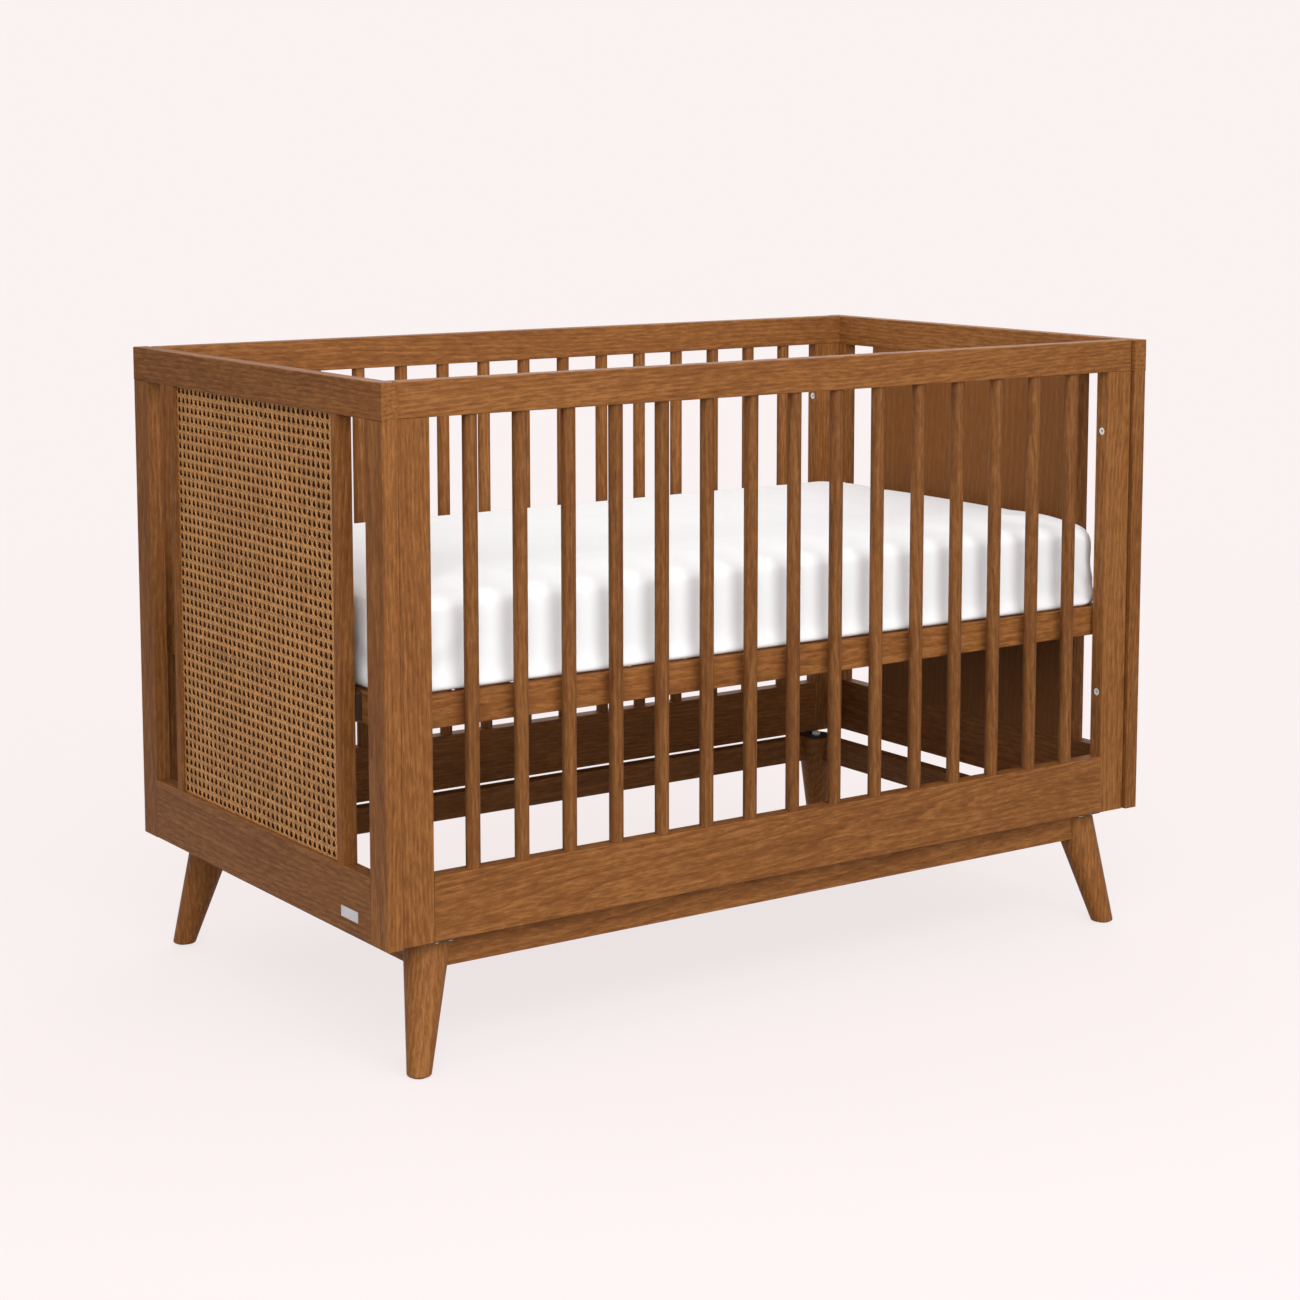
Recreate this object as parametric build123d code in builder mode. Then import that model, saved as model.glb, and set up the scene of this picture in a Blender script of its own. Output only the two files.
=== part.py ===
"""Baby crib with cane end panels, as separate pieces.

Frame: X runs along the crib, Y from the front (-) to the back (+), Z up. The origin is on the floor
under the middle of the crib. All sizes are in millimetres.
"""
import os

from build123d import *

# ---- overall size -------------------------------------------------------------------------------
LENGTH = 1378.0
DEPTH = 776.0
HEIGHT = 942.0
BODY_BOTTOM = 185.0
EDGE_ROUND = 1.5
FINE_ROUND = 1.0

# ---- end panels ---------------------------------------------------------------------------------
END_THICK = 24.0
END_POST_WIDTH = 48.0
END_TOP_RAIL = 50.5
END_BOTTOM_RAIL = 91.0
CENTRE_PANEL_WIDTH = 524.0
STILE_WIDTH = 14.0
BOARD_THICK = 12.0
CANE_RECESS = 6.0
CANE_THICK = 2.0

# ---- side panels --------------------------------------------------------------------------------
SIDE_THICK = 26.0
SIDE_SETBACK = 6.0
SIDE_POST_WIDTH = 51.0
SIDE_TOP_RAIL = 49.0
SIDE_BOTTOM_RAIL = 90.5
SPINDLE_COUNT = 15
SPINDLE_PITCH = 78.0
SPINDLE_DIAMETER = 20.5
SPINDLE_TENON_DIAMETER = 14.0
SPINDLE_TENON = 16.0
SHADOW_GAP = 3.0
SHADOW_GAP_DEPTH = 10.0

# ---- base ---------------------------------------------------------------------------------------
BASE_TOP = 183.0
BASE_BOTTOM = 140.0
BASE_RAIL_THICK = 24.0
APRON_FACE_Y = 354.5
CROSS_RAIL_FACE_X = 620.0
FOOT_X = 635.5
FOOT_Y = 371.5
LEG_TOP_X = 597.5
LEG_TOP_Y = 331.0
FOOT_RADIUS = 16.8
LEG_TOP_RADIUS = 33.4
FOOT_ROUND = 3.0
GLIDE_DIAMETER = 22.0
GLIDE_THICK = 1.5
GLIDE_PIN_DIAMETER = 6.0
GLIDE_PIN = 14.0
APRON_DOWEL_INSET = 28.4
APRON_DOWEL_RISE = 4.0
CROSS_DOWEL_INSET = 30.4
CROSS_DOWEL_DROP = 8.0

# ---- mattress support and mattress --------------------------------------------------------------
SUPPORT_TOP = 514.0
SUPPORT_HEIGHT = 45.0
SUPPORT_THICK = 20.0
SUPPORT_HALF_X = 656.0
SUPPORT_HALF_Y = 350.0
SLAT_COUNT = 13
SLAT_PITCH = 98.0
SLAT_WIDTH = 62.0
SLAT_THICK = 12.0
LEDGER = 15.0
HEIGHT_STEP = 80.0
HEIGHT_POSITIONS = 4
SUPPORT_BOLT_Y = 255.0
PAD_GAP = 0.5
PAD_WIDTH = 24.0
PAD_HEIGHT = 40.0
PAD_CORNER = 3.0
PAD_INSET = 3.0
MATTRESS_LENGTH = 1316.0
MATTRESS_WIDTH = 690.0
MATTRESS_THICK = 140.0
MATTRESS_CORNER = 45.0
MATTRESS_ROUND = 22.0
MATTRESS_WALL = 8.0
SOFT_GAP = 0.3

# ---- fastenings ---------------------------------------------------------------------------------
DOWEL_DIAMETER = 8.0
DOWEL_LENGTH = 36.0
BASE_DOWEL_DIAMETER = 10.0
BASE_DOWEL_LENGTH = 40.0
PANEL_BOLT_HEIGHTS = (380.0, 799.0)
BOLT_DIAMETER = 6.0
BOLT_HEAD_DIAMETER = 11.6
BOLT_HEAD = 6.0
BOLT_SOCKET = 5.0
BOLT_SOCKET_DEPTH = 3.5
PANEL_BOLT_SUNK = 0.5
PANEL_BOLT_SPARE = 3.0
INSERT_DIAMETER = 9.0
INSERT_LENGTH = 14.0
INSERT_FLOOR = 2.0
LEG_PLATE_THICK = BODY_BOTTOM - BASE_TOP
LEG_PLATE_X = (575.0, 619.0)
LEG_PLATE_Y = (306.0, 379.0)
LEG_PLATE_CORNER = 3.0
LEG_BOLT_DIAMETER = 8.0
LEG_BOLT_LENGTH = 55.0
LEG_BOLT_HEAD = 5.3
LEG_BOLT_FLATS = 13.0
PLATE_SCREW_X = (584.0, 606.0)
PLATE_SCREW_DIAMETER = 5.0
PLATE_SCREW_LENGTH = 18.0
PLATE_SCREW_HEAD_DIAMETER = 9.0
PLATE_SCREW_HEAD = 2.5

# ---- name plate ---------------------------------------------------------------------------------
PLATE_WIDTH = 48.0
PLATE_HEIGHT = 15.5
PLATE_CENTRE_Y = -282.0
PLATE_CENTRE_Z = 213.0
PLATE_THICK = 1.2
PLATE_PROUD = 0.5
PLATE_BORDER = 1.6
PLATE_FIELD_DEPTH = 0.3
PLATE_CORNER = 1.5
PLATE_FIELD_CORNER = 0.8

# ---- places worked out from the sizes above -----------------------------------------------------
END_OUTER_X = LENGTH / 2
END_INNER_X = END_OUTER_X - END_THICK
END_POST_INNER_Y = DEPTH / 2 - END_POST_WIDTH
END_TOP_RAIL_Z = HEIGHT - END_TOP_RAIL
END_OPENING_Z = BODY_BOTTOM + END_BOTTOM_RAIL
BOARD_HALF_Y = CENTRE_PANEL_WIDTH / 2 - STILE_WIDTH
SIDE_OUTER_Y = DEPTH / 2 - SIDE_SETBACK
SIDE_INNER_Y = SIDE_OUTER_Y - SIDE_THICK
SIDE_MID_Y = (SIDE_OUTER_Y + SIDE_INNER_Y) / 2
SIDE_POST_INNER_X = END_INNER_X - SIDE_POST_WIDTH
SIDE_TOP_RAIL_Z = HEIGHT - SIDE_TOP_RAIL
SIDE_OPENING_Z = BODY_BOTTOM + SIDE_BOTTOM_RAIL
SUPPORT_BOTTOM = SUPPORT_TOP - SUPPORT_HEIGHT
SUPPORT_MID_Z = (SUPPORT_TOP + SUPPORT_BOTTOM) / 2
SLAT_HALF_Y = SUPPORT_HALF_Y - SUPPORT_THICK
SLAT_BOTTOM = SUPPORT_TOP - SLAT_THICK
HEIGHT_HOLES = [SUPPORT_MID_Z - HEIGHT_STEP * step for step in range(HEIGHT_POSITIONS)]
SPINDLE_XS = [SPINDLE_PITCH * (i - (SPINDLE_COUNT - 1) / 2) for i in range(SPINDLE_COUNT)]
SLAT_XS = [SLAT_PITCH * (i - (SLAT_COUNT - 1) / 2) for i in range(SLAT_COUNT)]

ENDS = {"left": -1, "right": 1}
SIDES = {"front": -1, "back": 1}
ALONG_X = Vector(1, 0, 0)
ALONG_Y = Vector(0, 1, 0)
ALONG_Z = Vector(0, 0, 1)


def save(shape, label):
    """Give a finished piece its name and write it as one STEP file."""
    shape.label = label
    export_step(shape, f"parts/{label}.step")


def sorted_pair(a, b):
    """Return two limits with the lower first."""
    return (a, b) if a < b else (b, a)


def board(x_limits, y_limits, z_limits, rounded=None, radius=EDGE_ROUND):
    """Add a rectangular board between limits; edges along the axis named by rounded are eased."""
    x_low, x_high = sorted_pair(*x_limits)
    y_low, y_high = sorted_pair(*y_limits)
    z_low, z_high = sorted_pair(*z_limits)
    middle = Vector((x_low + x_high) / 2, (y_low + y_high) / 2, z_low)
    with BuildSketch(Plane(middle)) as footprint:
        Rectangle(x_high - x_low, y_high - y_low)
    extrude(footprint.sketch, amount=z_high - z_low)
    if rounded is not None:
        fillet(edges().filter_by(rounded), radius)


def drill(points, direction, diameter, depth):
    """Cut straight holes from each point along a direction."""
    for point in points:
        with BuildSketch(Plane(point, z_dir=direction)) as mouth:
            Circle(diameter / 2)
        extrude(mouth.sketch, amount=depth, mode=Mode.SUBTRACT)


def rod(point, direction, diameter, length):
    """Add one straight round rod from a point along a direction."""
    with BuildSketch(Plane(point, z_dir=direction)) as section:
        Circle(diameter / 2)
    extrude(section.sketch, amount=length)


def rods(points, direction, diameter, length):
    """Add a separate straight rod at each point."""
    for point in points:
        rod(point, direction, diameter, length)


# ---- where the dowels sit -----------------------------------------------------------------------
def end_top_dowels(x_sign):
    """Points on the joint face between an end's posts and its top rail; the dowels run up."""
    x = x_sign * (END_OUTER_X - END_THICK / 2)
    inset = END_POST_WIDTH / 4
    middle = DEPTH / 2 - END_POST_WIDTH / 2
    return [
        Vector(x, y_sign * (middle + step), END_TOP_RAIL_Z)
        for y_sign in (-1, 1)
        for step in (-inset, inset)
    ]


def end_bottom_dowels(x_sign, y_sign):
    """Points on the joint face between an end's post and its bottom rail; the dowels run along Y."""
    x = x_sign * (END_OUTER_X - END_THICK / 2)
    inset = END_BOTTOM_RAIL / 4
    middle = BODY_BOTTOM + END_BOTTOM_RAIL / 2
    return [Vector(x, y_sign * END_POST_INNER_Y, middle + step) for step in (-inset, inset)]


def side_top_dowels(y_sign):
    """Points on the joint face between a side's posts and its top rail; the dowels run up."""
    y = y_sign * SIDE_MID_Y
    inset = SIDE_POST_WIDTH / 4
    middle = END_INNER_X - SIDE_POST_WIDTH / 2
    return [
        Vector(x_sign * (middle + step), y, SIDE_TOP_RAIL_Z)
        for x_sign in (-1, 1)
        for step in (-inset, inset)
    ]


def side_bottom_dowels(y_sign, x_sign):
    """Points on the joint face between a side's post and its bottom rail; the dowels run along X."""
    inset = SIDE_BOTTOM_RAIL / 4
    middle = BODY_BOTTOM + SIDE_BOTTOM_RAIL / 2
    return [
        Vector(x_sign * SIDE_POST_INNER_X, y_sign * SIDE_MID_Y, middle + step)
        for step in (-inset, inset)
    ]


def dowels(middles, direction):
    """Add a dowel centred on each point."""
    starts = [middle - direction * (DOWEL_LENGTH / 2) for middle in middles]
    rods(starts, direction, DOWEL_DIAMETER, DOWEL_LENGTH)


def apron_dowel(x_sign, y_sign):
    """The middle of the dowel between an apron and its leg, on the apron's centre line."""
    y = y_sign * (APRON_FACE_Y - BASE_RAIL_THICK / 2)
    x = x_sign * (LEG_TOP_X - APRON_DOWEL_INSET)
    return Vector(x, y, (BASE_TOP + BASE_BOTTOM) / 2 + APRON_DOWEL_RISE)


def cross_rail_dowel(x_sign, y_sign):
    """The middle of the dowel between a cross rail and its leg, on the rail's centre line."""
    x = x_sign * (CROSS_RAIL_FACE_X - BASE_RAIL_THICK / 2)
    y = y_sign * (LEG_TOP_Y - CROSS_DOWEL_INSET)
    return Vector(x, y, (BASE_TOP + BASE_BOTTOM) / 2 - CROSS_DOWEL_DROP)


# ---- end panels ---------------------------------------------------------------------------------
def panel_bolt_points(x_sign, y_sign):
    """Where a side panel's bolts cross the joint between side post and end post."""
    return [Vector(x_sign * END_INNER_X, y_sign * SIDE_MID_Y, z) for z in PANEL_BOLT_HEIGHTS]


def make_end_panel(end, x_sign):
    """Make the rails, posts, stiles, board and cane sheet of one end panel."""
    outer = x_sign * END_OUTER_X
    inner = x_sign * END_INNER_X
    outward = ALONG_X * x_sign

    with BuildPart() as top_rail:
        board((inner, outer), (-DEPTH / 2, DEPTH / 2), (END_TOP_RAIL_Z, HEIGHT), Axis.Y)
        drill(end_top_dowels(x_sign), ALONG_Z, DOWEL_DIAMETER, DOWEL_LENGTH / 2)
    save(top_rail.part, f"{end}_end_top_rail")

    with BuildPart() as bottom_rail:
        board((inner, outer), (-END_POST_INNER_Y, END_POST_INNER_Y), (BODY_BOTTOM, END_OPENING_Z), Axis.Y)
        for y_sign in SIDES.values():
            into = ALONG_Y * -y_sign
            drill(end_bottom_dowels(x_sign, y_sign), into, DOWEL_DIAMETER, DOWEL_LENGTH / 2)
            lowest = [Vector(inner, y_sign * SUPPORT_BOLT_Y, z) for z in HEIGHT_HOLES if z < END_OPENING_Z]
            drill(lowest, outward, INSERT_DIAMETER, INSERT_LENGTH)
        if end == "left":
            pocket_depth = PLATE_THICK - PLATE_PROUD
            with BuildSketch(Plane((outer, PLATE_CENTRE_Y, PLATE_CENTRE_Z), x_dir=ALONG_Y, z_dir=outward)):
                RectangleRounded(PLATE_WIDTH, PLATE_HEIGHT, PLATE_CORNER)
            extrude(amount=-pocket_depth, mode=Mode.SUBTRACT)
    save(bottom_rail.part, f"{end}_end_bottom_rail")

    for side, y_sign in SIDES.items():
        with BuildPart() as post:
            y_limits = (y_sign * END_POST_INNER_Y, y_sign * DEPTH / 2)
            board((inner, outer), y_limits, (BODY_BOTTOM, END_TOP_RAIL_Z), Axis.Z)
            at_this_side = [p for p in end_top_dowels(x_sign) if p.Y * y_sign > 0]
            drill(at_this_side, -ALONG_Z, DOWEL_DIAMETER, DOWEL_LENGTH / 2)
            into = ALONG_Y * y_sign
            drill(end_bottom_dowels(x_sign, y_sign), into, DOWEL_DIAMETER, DOWEL_LENGTH / 2)
            drill(panel_bolt_points(x_sign, y_sign), outward, INSERT_DIAMETER, INSERT_LENGTH)
        save(post.part, f"{end}_end_{side}_post")

        with BuildPart() as stile:
            y_limits = (y_sign * BOARD_HALF_Y, y_sign * CENTRE_PANEL_WIDTH / 2)
            board((inner, outer), y_limits, (END_OPENING_Z, END_TOP_RAIL_Z), Axis.Z, FINE_ROUND)
            holes = [Vector(inner, y_sign * SUPPORT_BOLT_Y, z) for z in HEIGHT_HOLES if z > END_OPENING_Z]
            drill(holes, outward, INSERT_DIAMETER, INSERT_LENGTH)
        save(stile.part, f"{end}_end_{side}_stile")

    with BuildPart() as inner_board:
        x_limits = (inner, inner + x_sign * BOARD_THICK)
        board(x_limits, (-BOARD_HALF_Y, BOARD_HALF_Y), (END_OPENING_Z, END_TOP_RAIL_Z))
    save(inner_board.part, f"{end}_end_board")

    with BuildPart() as cane:
        face = outer - x_sign * CANE_RECESS
        x_limits = (face, face - x_sign * CANE_THICK)
        board(x_limits, (-BOARD_HALF_Y, BOARD_HALF_Y), (END_OPENING_Z, END_TOP_RAIL_Z))
    save(cane.part, f"{end}_end_cane_sheet")


def make_name_plate():
    """Make the small blank plate let into the left end's bottom rail, with a raised border."""
    outward = ALONG_X * -1
    face_x = -END_OUTER_X - PLATE_PROUD
    face = Plane((face_x, PLATE_CENTRE_Y, PLATE_CENTRE_Z), x_dir=ALONG_Y, z_dir=outward)
    with BuildPart() as name_plate:
        with BuildSketch(face):
            RectangleRounded(PLATE_WIDTH, PLATE_HEIGHT, PLATE_CORNER)
        extrude(amount=-PLATE_THICK)
        with BuildSketch(face):
            field_width = PLATE_WIDTH - 2 * PLATE_BORDER
            field_height = PLATE_HEIGHT - 2 * PLATE_BORDER
            RectangleRounded(field_width, field_height, PLATE_FIELD_CORNER)
        extrude(amount=-PLATE_FIELD_DEPTH, mode=Mode.SUBTRACT)
    save(name_plate.part, "name_plate")


# ---- side panels --------------------------------------------------------------------------------
def shadow_gap(x_sign, y_sign):
    """Cut the narrow rebate down a side panel's outer corner, which leaves a dark line at the end."""
    x_middle = x_sign * (END_INNER_X - SHADOW_GAP / 2)
    y_middle = y_sign * (SIDE_OUTER_Y - SHADOW_GAP_DEPTH / 2)
    with BuildSketch(Plane((x_middle, y_middle, BODY_BOTTOM))) as mouth:
        Rectangle(SHADOW_GAP, SHADOW_GAP_DEPTH)
    extrude(mouth.sketch, amount=HEIGHT - BODY_BOTTOM, mode=Mode.SUBTRACT)


def make_side_panel(side, y_sign):
    """Make the rails, posts and spindles of one side panel."""
    y_limits = (y_sign * SIDE_INNER_Y, y_sign * SIDE_OUTER_Y)
    y_mid = y_sign * SIDE_MID_Y
    spindle_tops = [Vector(x, y_mid, SIDE_TOP_RAIL_Z) for x in SPINDLE_XS]
    spindle_feet = [Vector(x, y_mid, SIDE_OPENING_Z) for x in SPINDLE_XS]

    with BuildPart() as top_rail:
        board((-END_INNER_X, END_INNER_X), y_limits, (SIDE_TOP_RAIL_Z, HEIGHT), Axis.X)
        drill(side_top_dowels(y_sign), ALONG_Z, DOWEL_DIAMETER, DOWEL_LENGTH / 2)
        drill(spindle_tops, ALONG_Z, SPINDLE_TENON_DIAMETER, SPINDLE_TENON)
        for x_sign in ENDS.values():
            shadow_gap(x_sign, y_sign)
    save(top_rail.part, f"{side}_top_rail")

    with BuildPart() as bottom_rail:
        x_limits = (-SIDE_POST_INNER_X, SIDE_POST_INNER_X)
        board(x_limits, y_limits, (BODY_BOTTOM, SIDE_OPENING_Z), Axis.X)
        drill(spindle_feet, -ALONG_Z, SPINDLE_TENON_DIAMETER, SPINDLE_TENON)
        for x_sign in ENDS.values():
            into = ALONG_X * -x_sign
            drill(side_bottom_dowels(y_sign, x_sign), into, DOWEL_DIAMETER, DOWEL_LENGTH / 2)
            screws = [Vector(x_sign * x, y_mid, BODY_BOTTOM) for x in PLATE_SCREW_X]
            drill(screws, ALONG_Z, PLATE_SCREW_DIAMETER, PLATE_SCREW_LENGTH - LEG_PLATE_THICK)
    save(bottom_rail.part, f"{side}_bottom_rail")

    for end, x_sign in ENDS.items():
        with BuildPart() as post:
            x_limits = (x_sign * SIDE_POST_INNER_X, x_sign * END_INNER_X)
            board(x_limits, y_limits, (BODY_BOTTOM, SIDE_TOP_RAIL_Z), Axis.Z)
            at_this_end = [p for p in side_top_dowels(y_sign) if p.X * x_sign > 0]
            drill(at_this_end, -ALONG_Z, DOWEL_DIAMETER, DOWEL_LENGTH / 2)
            outward = ALONG_X * x_sign
            drill(side_bottom_dowels(y_sign, x_sign), outward, DOWEL_DIAMETER, DOWEL_LENGTH / 2)
            bolt_starts = [Vector(x_limits[0], y_mid, z) for z in PANEL_BOLT_HEIGHTS]
            drill(bolt_starts, outward, BOLT_DIAMETER, SIDE_POST_WIDTH)
            drill(bolt_starts, outward, BOLT_HEAD_DIAMETER, BOLT_HEAD + PANEL_BOLT_SUNK)
            shadow_gap(x_sign, y_sign)
        save(post.part, f"{side}_{end}_post")

    with BuildPart() as spindles:
        for foot in spindle_feet:
            rod(foot, ALONG_Z, SPINDLE_DIAMETER, SIDE_TOP_RAIL_Z - SIDE_OPENING_Z)
            tenon_start = foot - ALONG_Z * SPINDLE_TENON
            tenon_length = SIDE_TOP_RAIL_Z - SIDE_OPENING_Z + 2 * SPINDLE_TENON
            rod(tenon_start, ALONG_Z, SPINDLE_TENON_DIAMETER, tenon_length)
    save(spindles.part, f"{side}_spindles")


def make_frame_dowels():
    """Make the dowels of the end panels and of the side panels, each set as one group."""
    with BuildPart() as end_dowels:
        for x_sign in ENDS.values():
            dowels(end_top_dowels(x_sign), ALONG_Z)
            for y_sign in SIDES.values():
                dowels(end_bottom_dowels(x_sign, y_sign), ALONG_Y)
    save(end_dowels.part, "end_panel_dowels")

    with BuildPart() as side_dowels:
        for y_sign in SIDES.values():
            dowels(side_top_dowels(y_sign), ALONG_Z)
            for x_sign in ENDS.values():
                dowels(side_bottom_dowels(y_sign, x_sign), ALONG_X)
    save(side_dowels.part, "side_panel_dowels")


def socket_bolt(head_face, direction, shank_length):
    """Add a round-headed bolt with a hexagon socket; its shank runs from under the head."""
    rod(head_face, direction, BOLT_HEAD_DIAMETER, BOLT_HEAD)
    rod(head_face + direction * BOLT_HEAD, direction, BOLT_DIAMETER, shank_length)
    with BuildSketch(Plane(head_face, z_dir=direction)) as socket:
        RegularPolygon(BOLT_SOCKET / 2, 6, major_radius=False)
    extrude(socket.sketch, amount=BOLT_SOCKET_DEPTH, mode=Mode.SUBTRACT)


def threaded_insert(mouth, direction):
    """Add one brass insert with its open thread bore facing back along the direction."""
    rod(mouth, direction, INSERT_DIAMETER, INSERT_LENGTH)
    drill([mouth], direction, BOLT_DIAMETER, INSERT_LENGTH - INSERT_FLOOR)


def make_panel_fasteners():
    """Make the bolts that hold the side panels to the ends, and their inserts in the end posts."""
    shank = SIDE_POST_WIDTH - BOLT_HEAD - PANEL_BOLT_SUNK + INSERT_LENGTH - PANEL_BOLT_SPARE
    with BuildPart() as bolts:
        for x_sign in ENDS.values():
            for y_sign in SIDES.values():
                for z in PANEL_BOLT_HEIGHTS:
                    start = Vector(x_sign * (SIDE_POST_INNER_X + PANEL_BOLT_SUNK), y_sign * SIDE_MID_Y, z)
                    socket_bolt(start, ALONG_X * x_sign, shank)
    save(bolts.part, "side_panel_bolts")

    with BuildPart() as inserts:
        for x_sign in ENDS.values():
            for y_sign in SIDES.values():
                for point in panel_bolt_points(x_sign, y_sign):
                    threaded_insert(point, ALONG_X * x_sign)
    save(inserts.part, "side_panel_inserts")

    with BuildPart() as height_inserts:
        for x_sign in ENDS.values():
            for y_sign in SIDES.values():
                for z in HEIGHT_HOLES:
                    mouth = Vector(x_sign * END_INNER_X, y_sign * SUPPORT_BOLT_Y, z)
                    threaded_insert(mouth, ALONG_X * x_sign)
    save(height_inserts.part, "height_inserts")


# ---- base ---------------------------------------------------------------------------------------
def leg_axis(x_sign, y_sign):
    """Return a leg's foot centre on the floor and the direction up its splayed axis."""
    foot = Vector(x_sign * FOOT_X, y_sign * FOOT_Y, 0)
    top = Vector(x_sign * LEG_TOP_X, y_sign * LEG_TOP_Y, BASE_TOP)
    return foot, top - foot


def leg_cone(x_sign, y_sign):
    """Add a leg's taper, cut level at the top of the base and at the top of its glide."""
    foot, rise = leg_axis(x_sign, y_sign)
    spare = 0.1
    taper = LEG_TOP_RADIUS - FOOT_RADIUS
    with BuildSketch(Plane(foot - rise * spare, z_dir=rise)) as below:
        Circle(FOOT_RADIUS - taper * spare)
    with BuildSketch(Plane(foot + rise * (1 + spare), z_dir=rise)) as above:
        Circle(LEG_TOP_RADIUS + taper * spare)
    loft([below.sketch, above.sketch])
    split(bisect_by=Plane.XY.offset(GLIDE_THICK), keep=Keep.TOP)
    split(bisect_by=Plane.XY.offset(BASE_TOP), keep=Keep.BOTTOM)


def base_dowel_start(middle, direction):
    """Where a base dowel starts when it is centred on its middle."""
    return middle - direction * (BASE_DOWEL_LENGTH / 2)


def make_legs():
    """Make the four splayed legs with their dowel, bolt and glide holes."""
    legs = {}
    for end, x_sign in ENDS.items():
        for side, y_sign in SIDES.items():
            with BuildPart() as leg:
                leg_cone(x_sign, y_sign)
                fillet(faces().sort_by(Axis.Z)[0].edges(), FOOT_ROUND)
                legs[(end, side)] = leg.part
                start = base_dowel_start(apron_dowel(x_sign, y_sign), ALONG_X)
                drill([start], ALONG_X, BASE_DOWEL_DIAMETER, BASE_DOWEL_LENGTH)
                start = base_dowel_start(cross_rail_dowel(x_sign, y_sign), ALONG_Y)
                drill([start], ALONG_Y, BASE_DOWEL_DIAMETER, BASE_DOWEL_LENGTH)
                bolt_top = Vector(x_sign * LEG_TOP_X, y_sign * LEG_TOP_Y, BASE_TOP)
                drill([bolt_top], -ALONG_Z, LEG_BOLT_DIAMETER, LEG_BOLT_LENGTH - LEG_PLATE_THICK)
                glide_top = Vector(x_sign * FOOT_X, y_sign * FOOT_Y, GLIDE_THICK)
                drill([glide_top], ALONG_Z, GLIDE_PIN_DIAMETER, GLIDE_PIN)
            save(leg.part, f"{side}_{end}_leg")
    return legs


def without_offcuts(builder):
    """Return only the largest solid a builder holds, without the bits cut off beyond the legs."""
    largest = builder.part.solids().sort_by(SortBy.VOLUME)[-1]
    return Part(largest.wrapped)


def make_base_rails(legs):
    """Make the aprons and cross rails, their ends hollowed to sit against the round legs."""
    z_limits = (BASE_BOTTOM, BASE_TOP)
    for side, y_sign in SIDES.items():
        with BuildPart() as apron:
            y_limits = (y_sign * (APRON_FACE_Y - BASE_RAIL_THICK), y_sign * APRON_FACE_Y)
            board((-LEG_TOP_X, LEG_TOP_X), y_limits, z_limits, Axis.X, FINE_ROUND)
            for end, x_sign in ENDS.items():
                add(legs[(end, side)], mode=Mode.SUBTRACT)
                start = base_dowel_start(apron_dowel(x_sign, y_sign), ALONG_X)
                drill([start], ALONG_X, BASE_DOWEL_DIAMETER, BASE_DOWEL_LENGTH)
        save(without_offcuts(apron), f"base_{side}_apron")

    for end, x_sign in ENDS.items():
        with BuildPart() as cross_rail:
            x_limits = (x_sign * (CROSS_RAIL_FACE_X - BASE_RAIL_THICK), x_sign * CROSS_RAIL_FACE_X)
            board(x_limits, (-LEG_TOP_Y, LEG_TOP_Y), z_limits, Axis.Y, FINE_ROUND)
            for side, y_sign in SIDES.items():
                add(legs[(end, side)], mode=Mode.SUBTRACT)
                start = base_dowel_start(cross_rail_dowel(x_sign, y_sign), ALONG_Y)
                drill([start], ALONG_Y, BASE_DOWEL_DIAMETER, BASE_DOWEL_LENGTH)
        save(without_offcuts(cross_rail), f"base_{end}_cross_rail")


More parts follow.
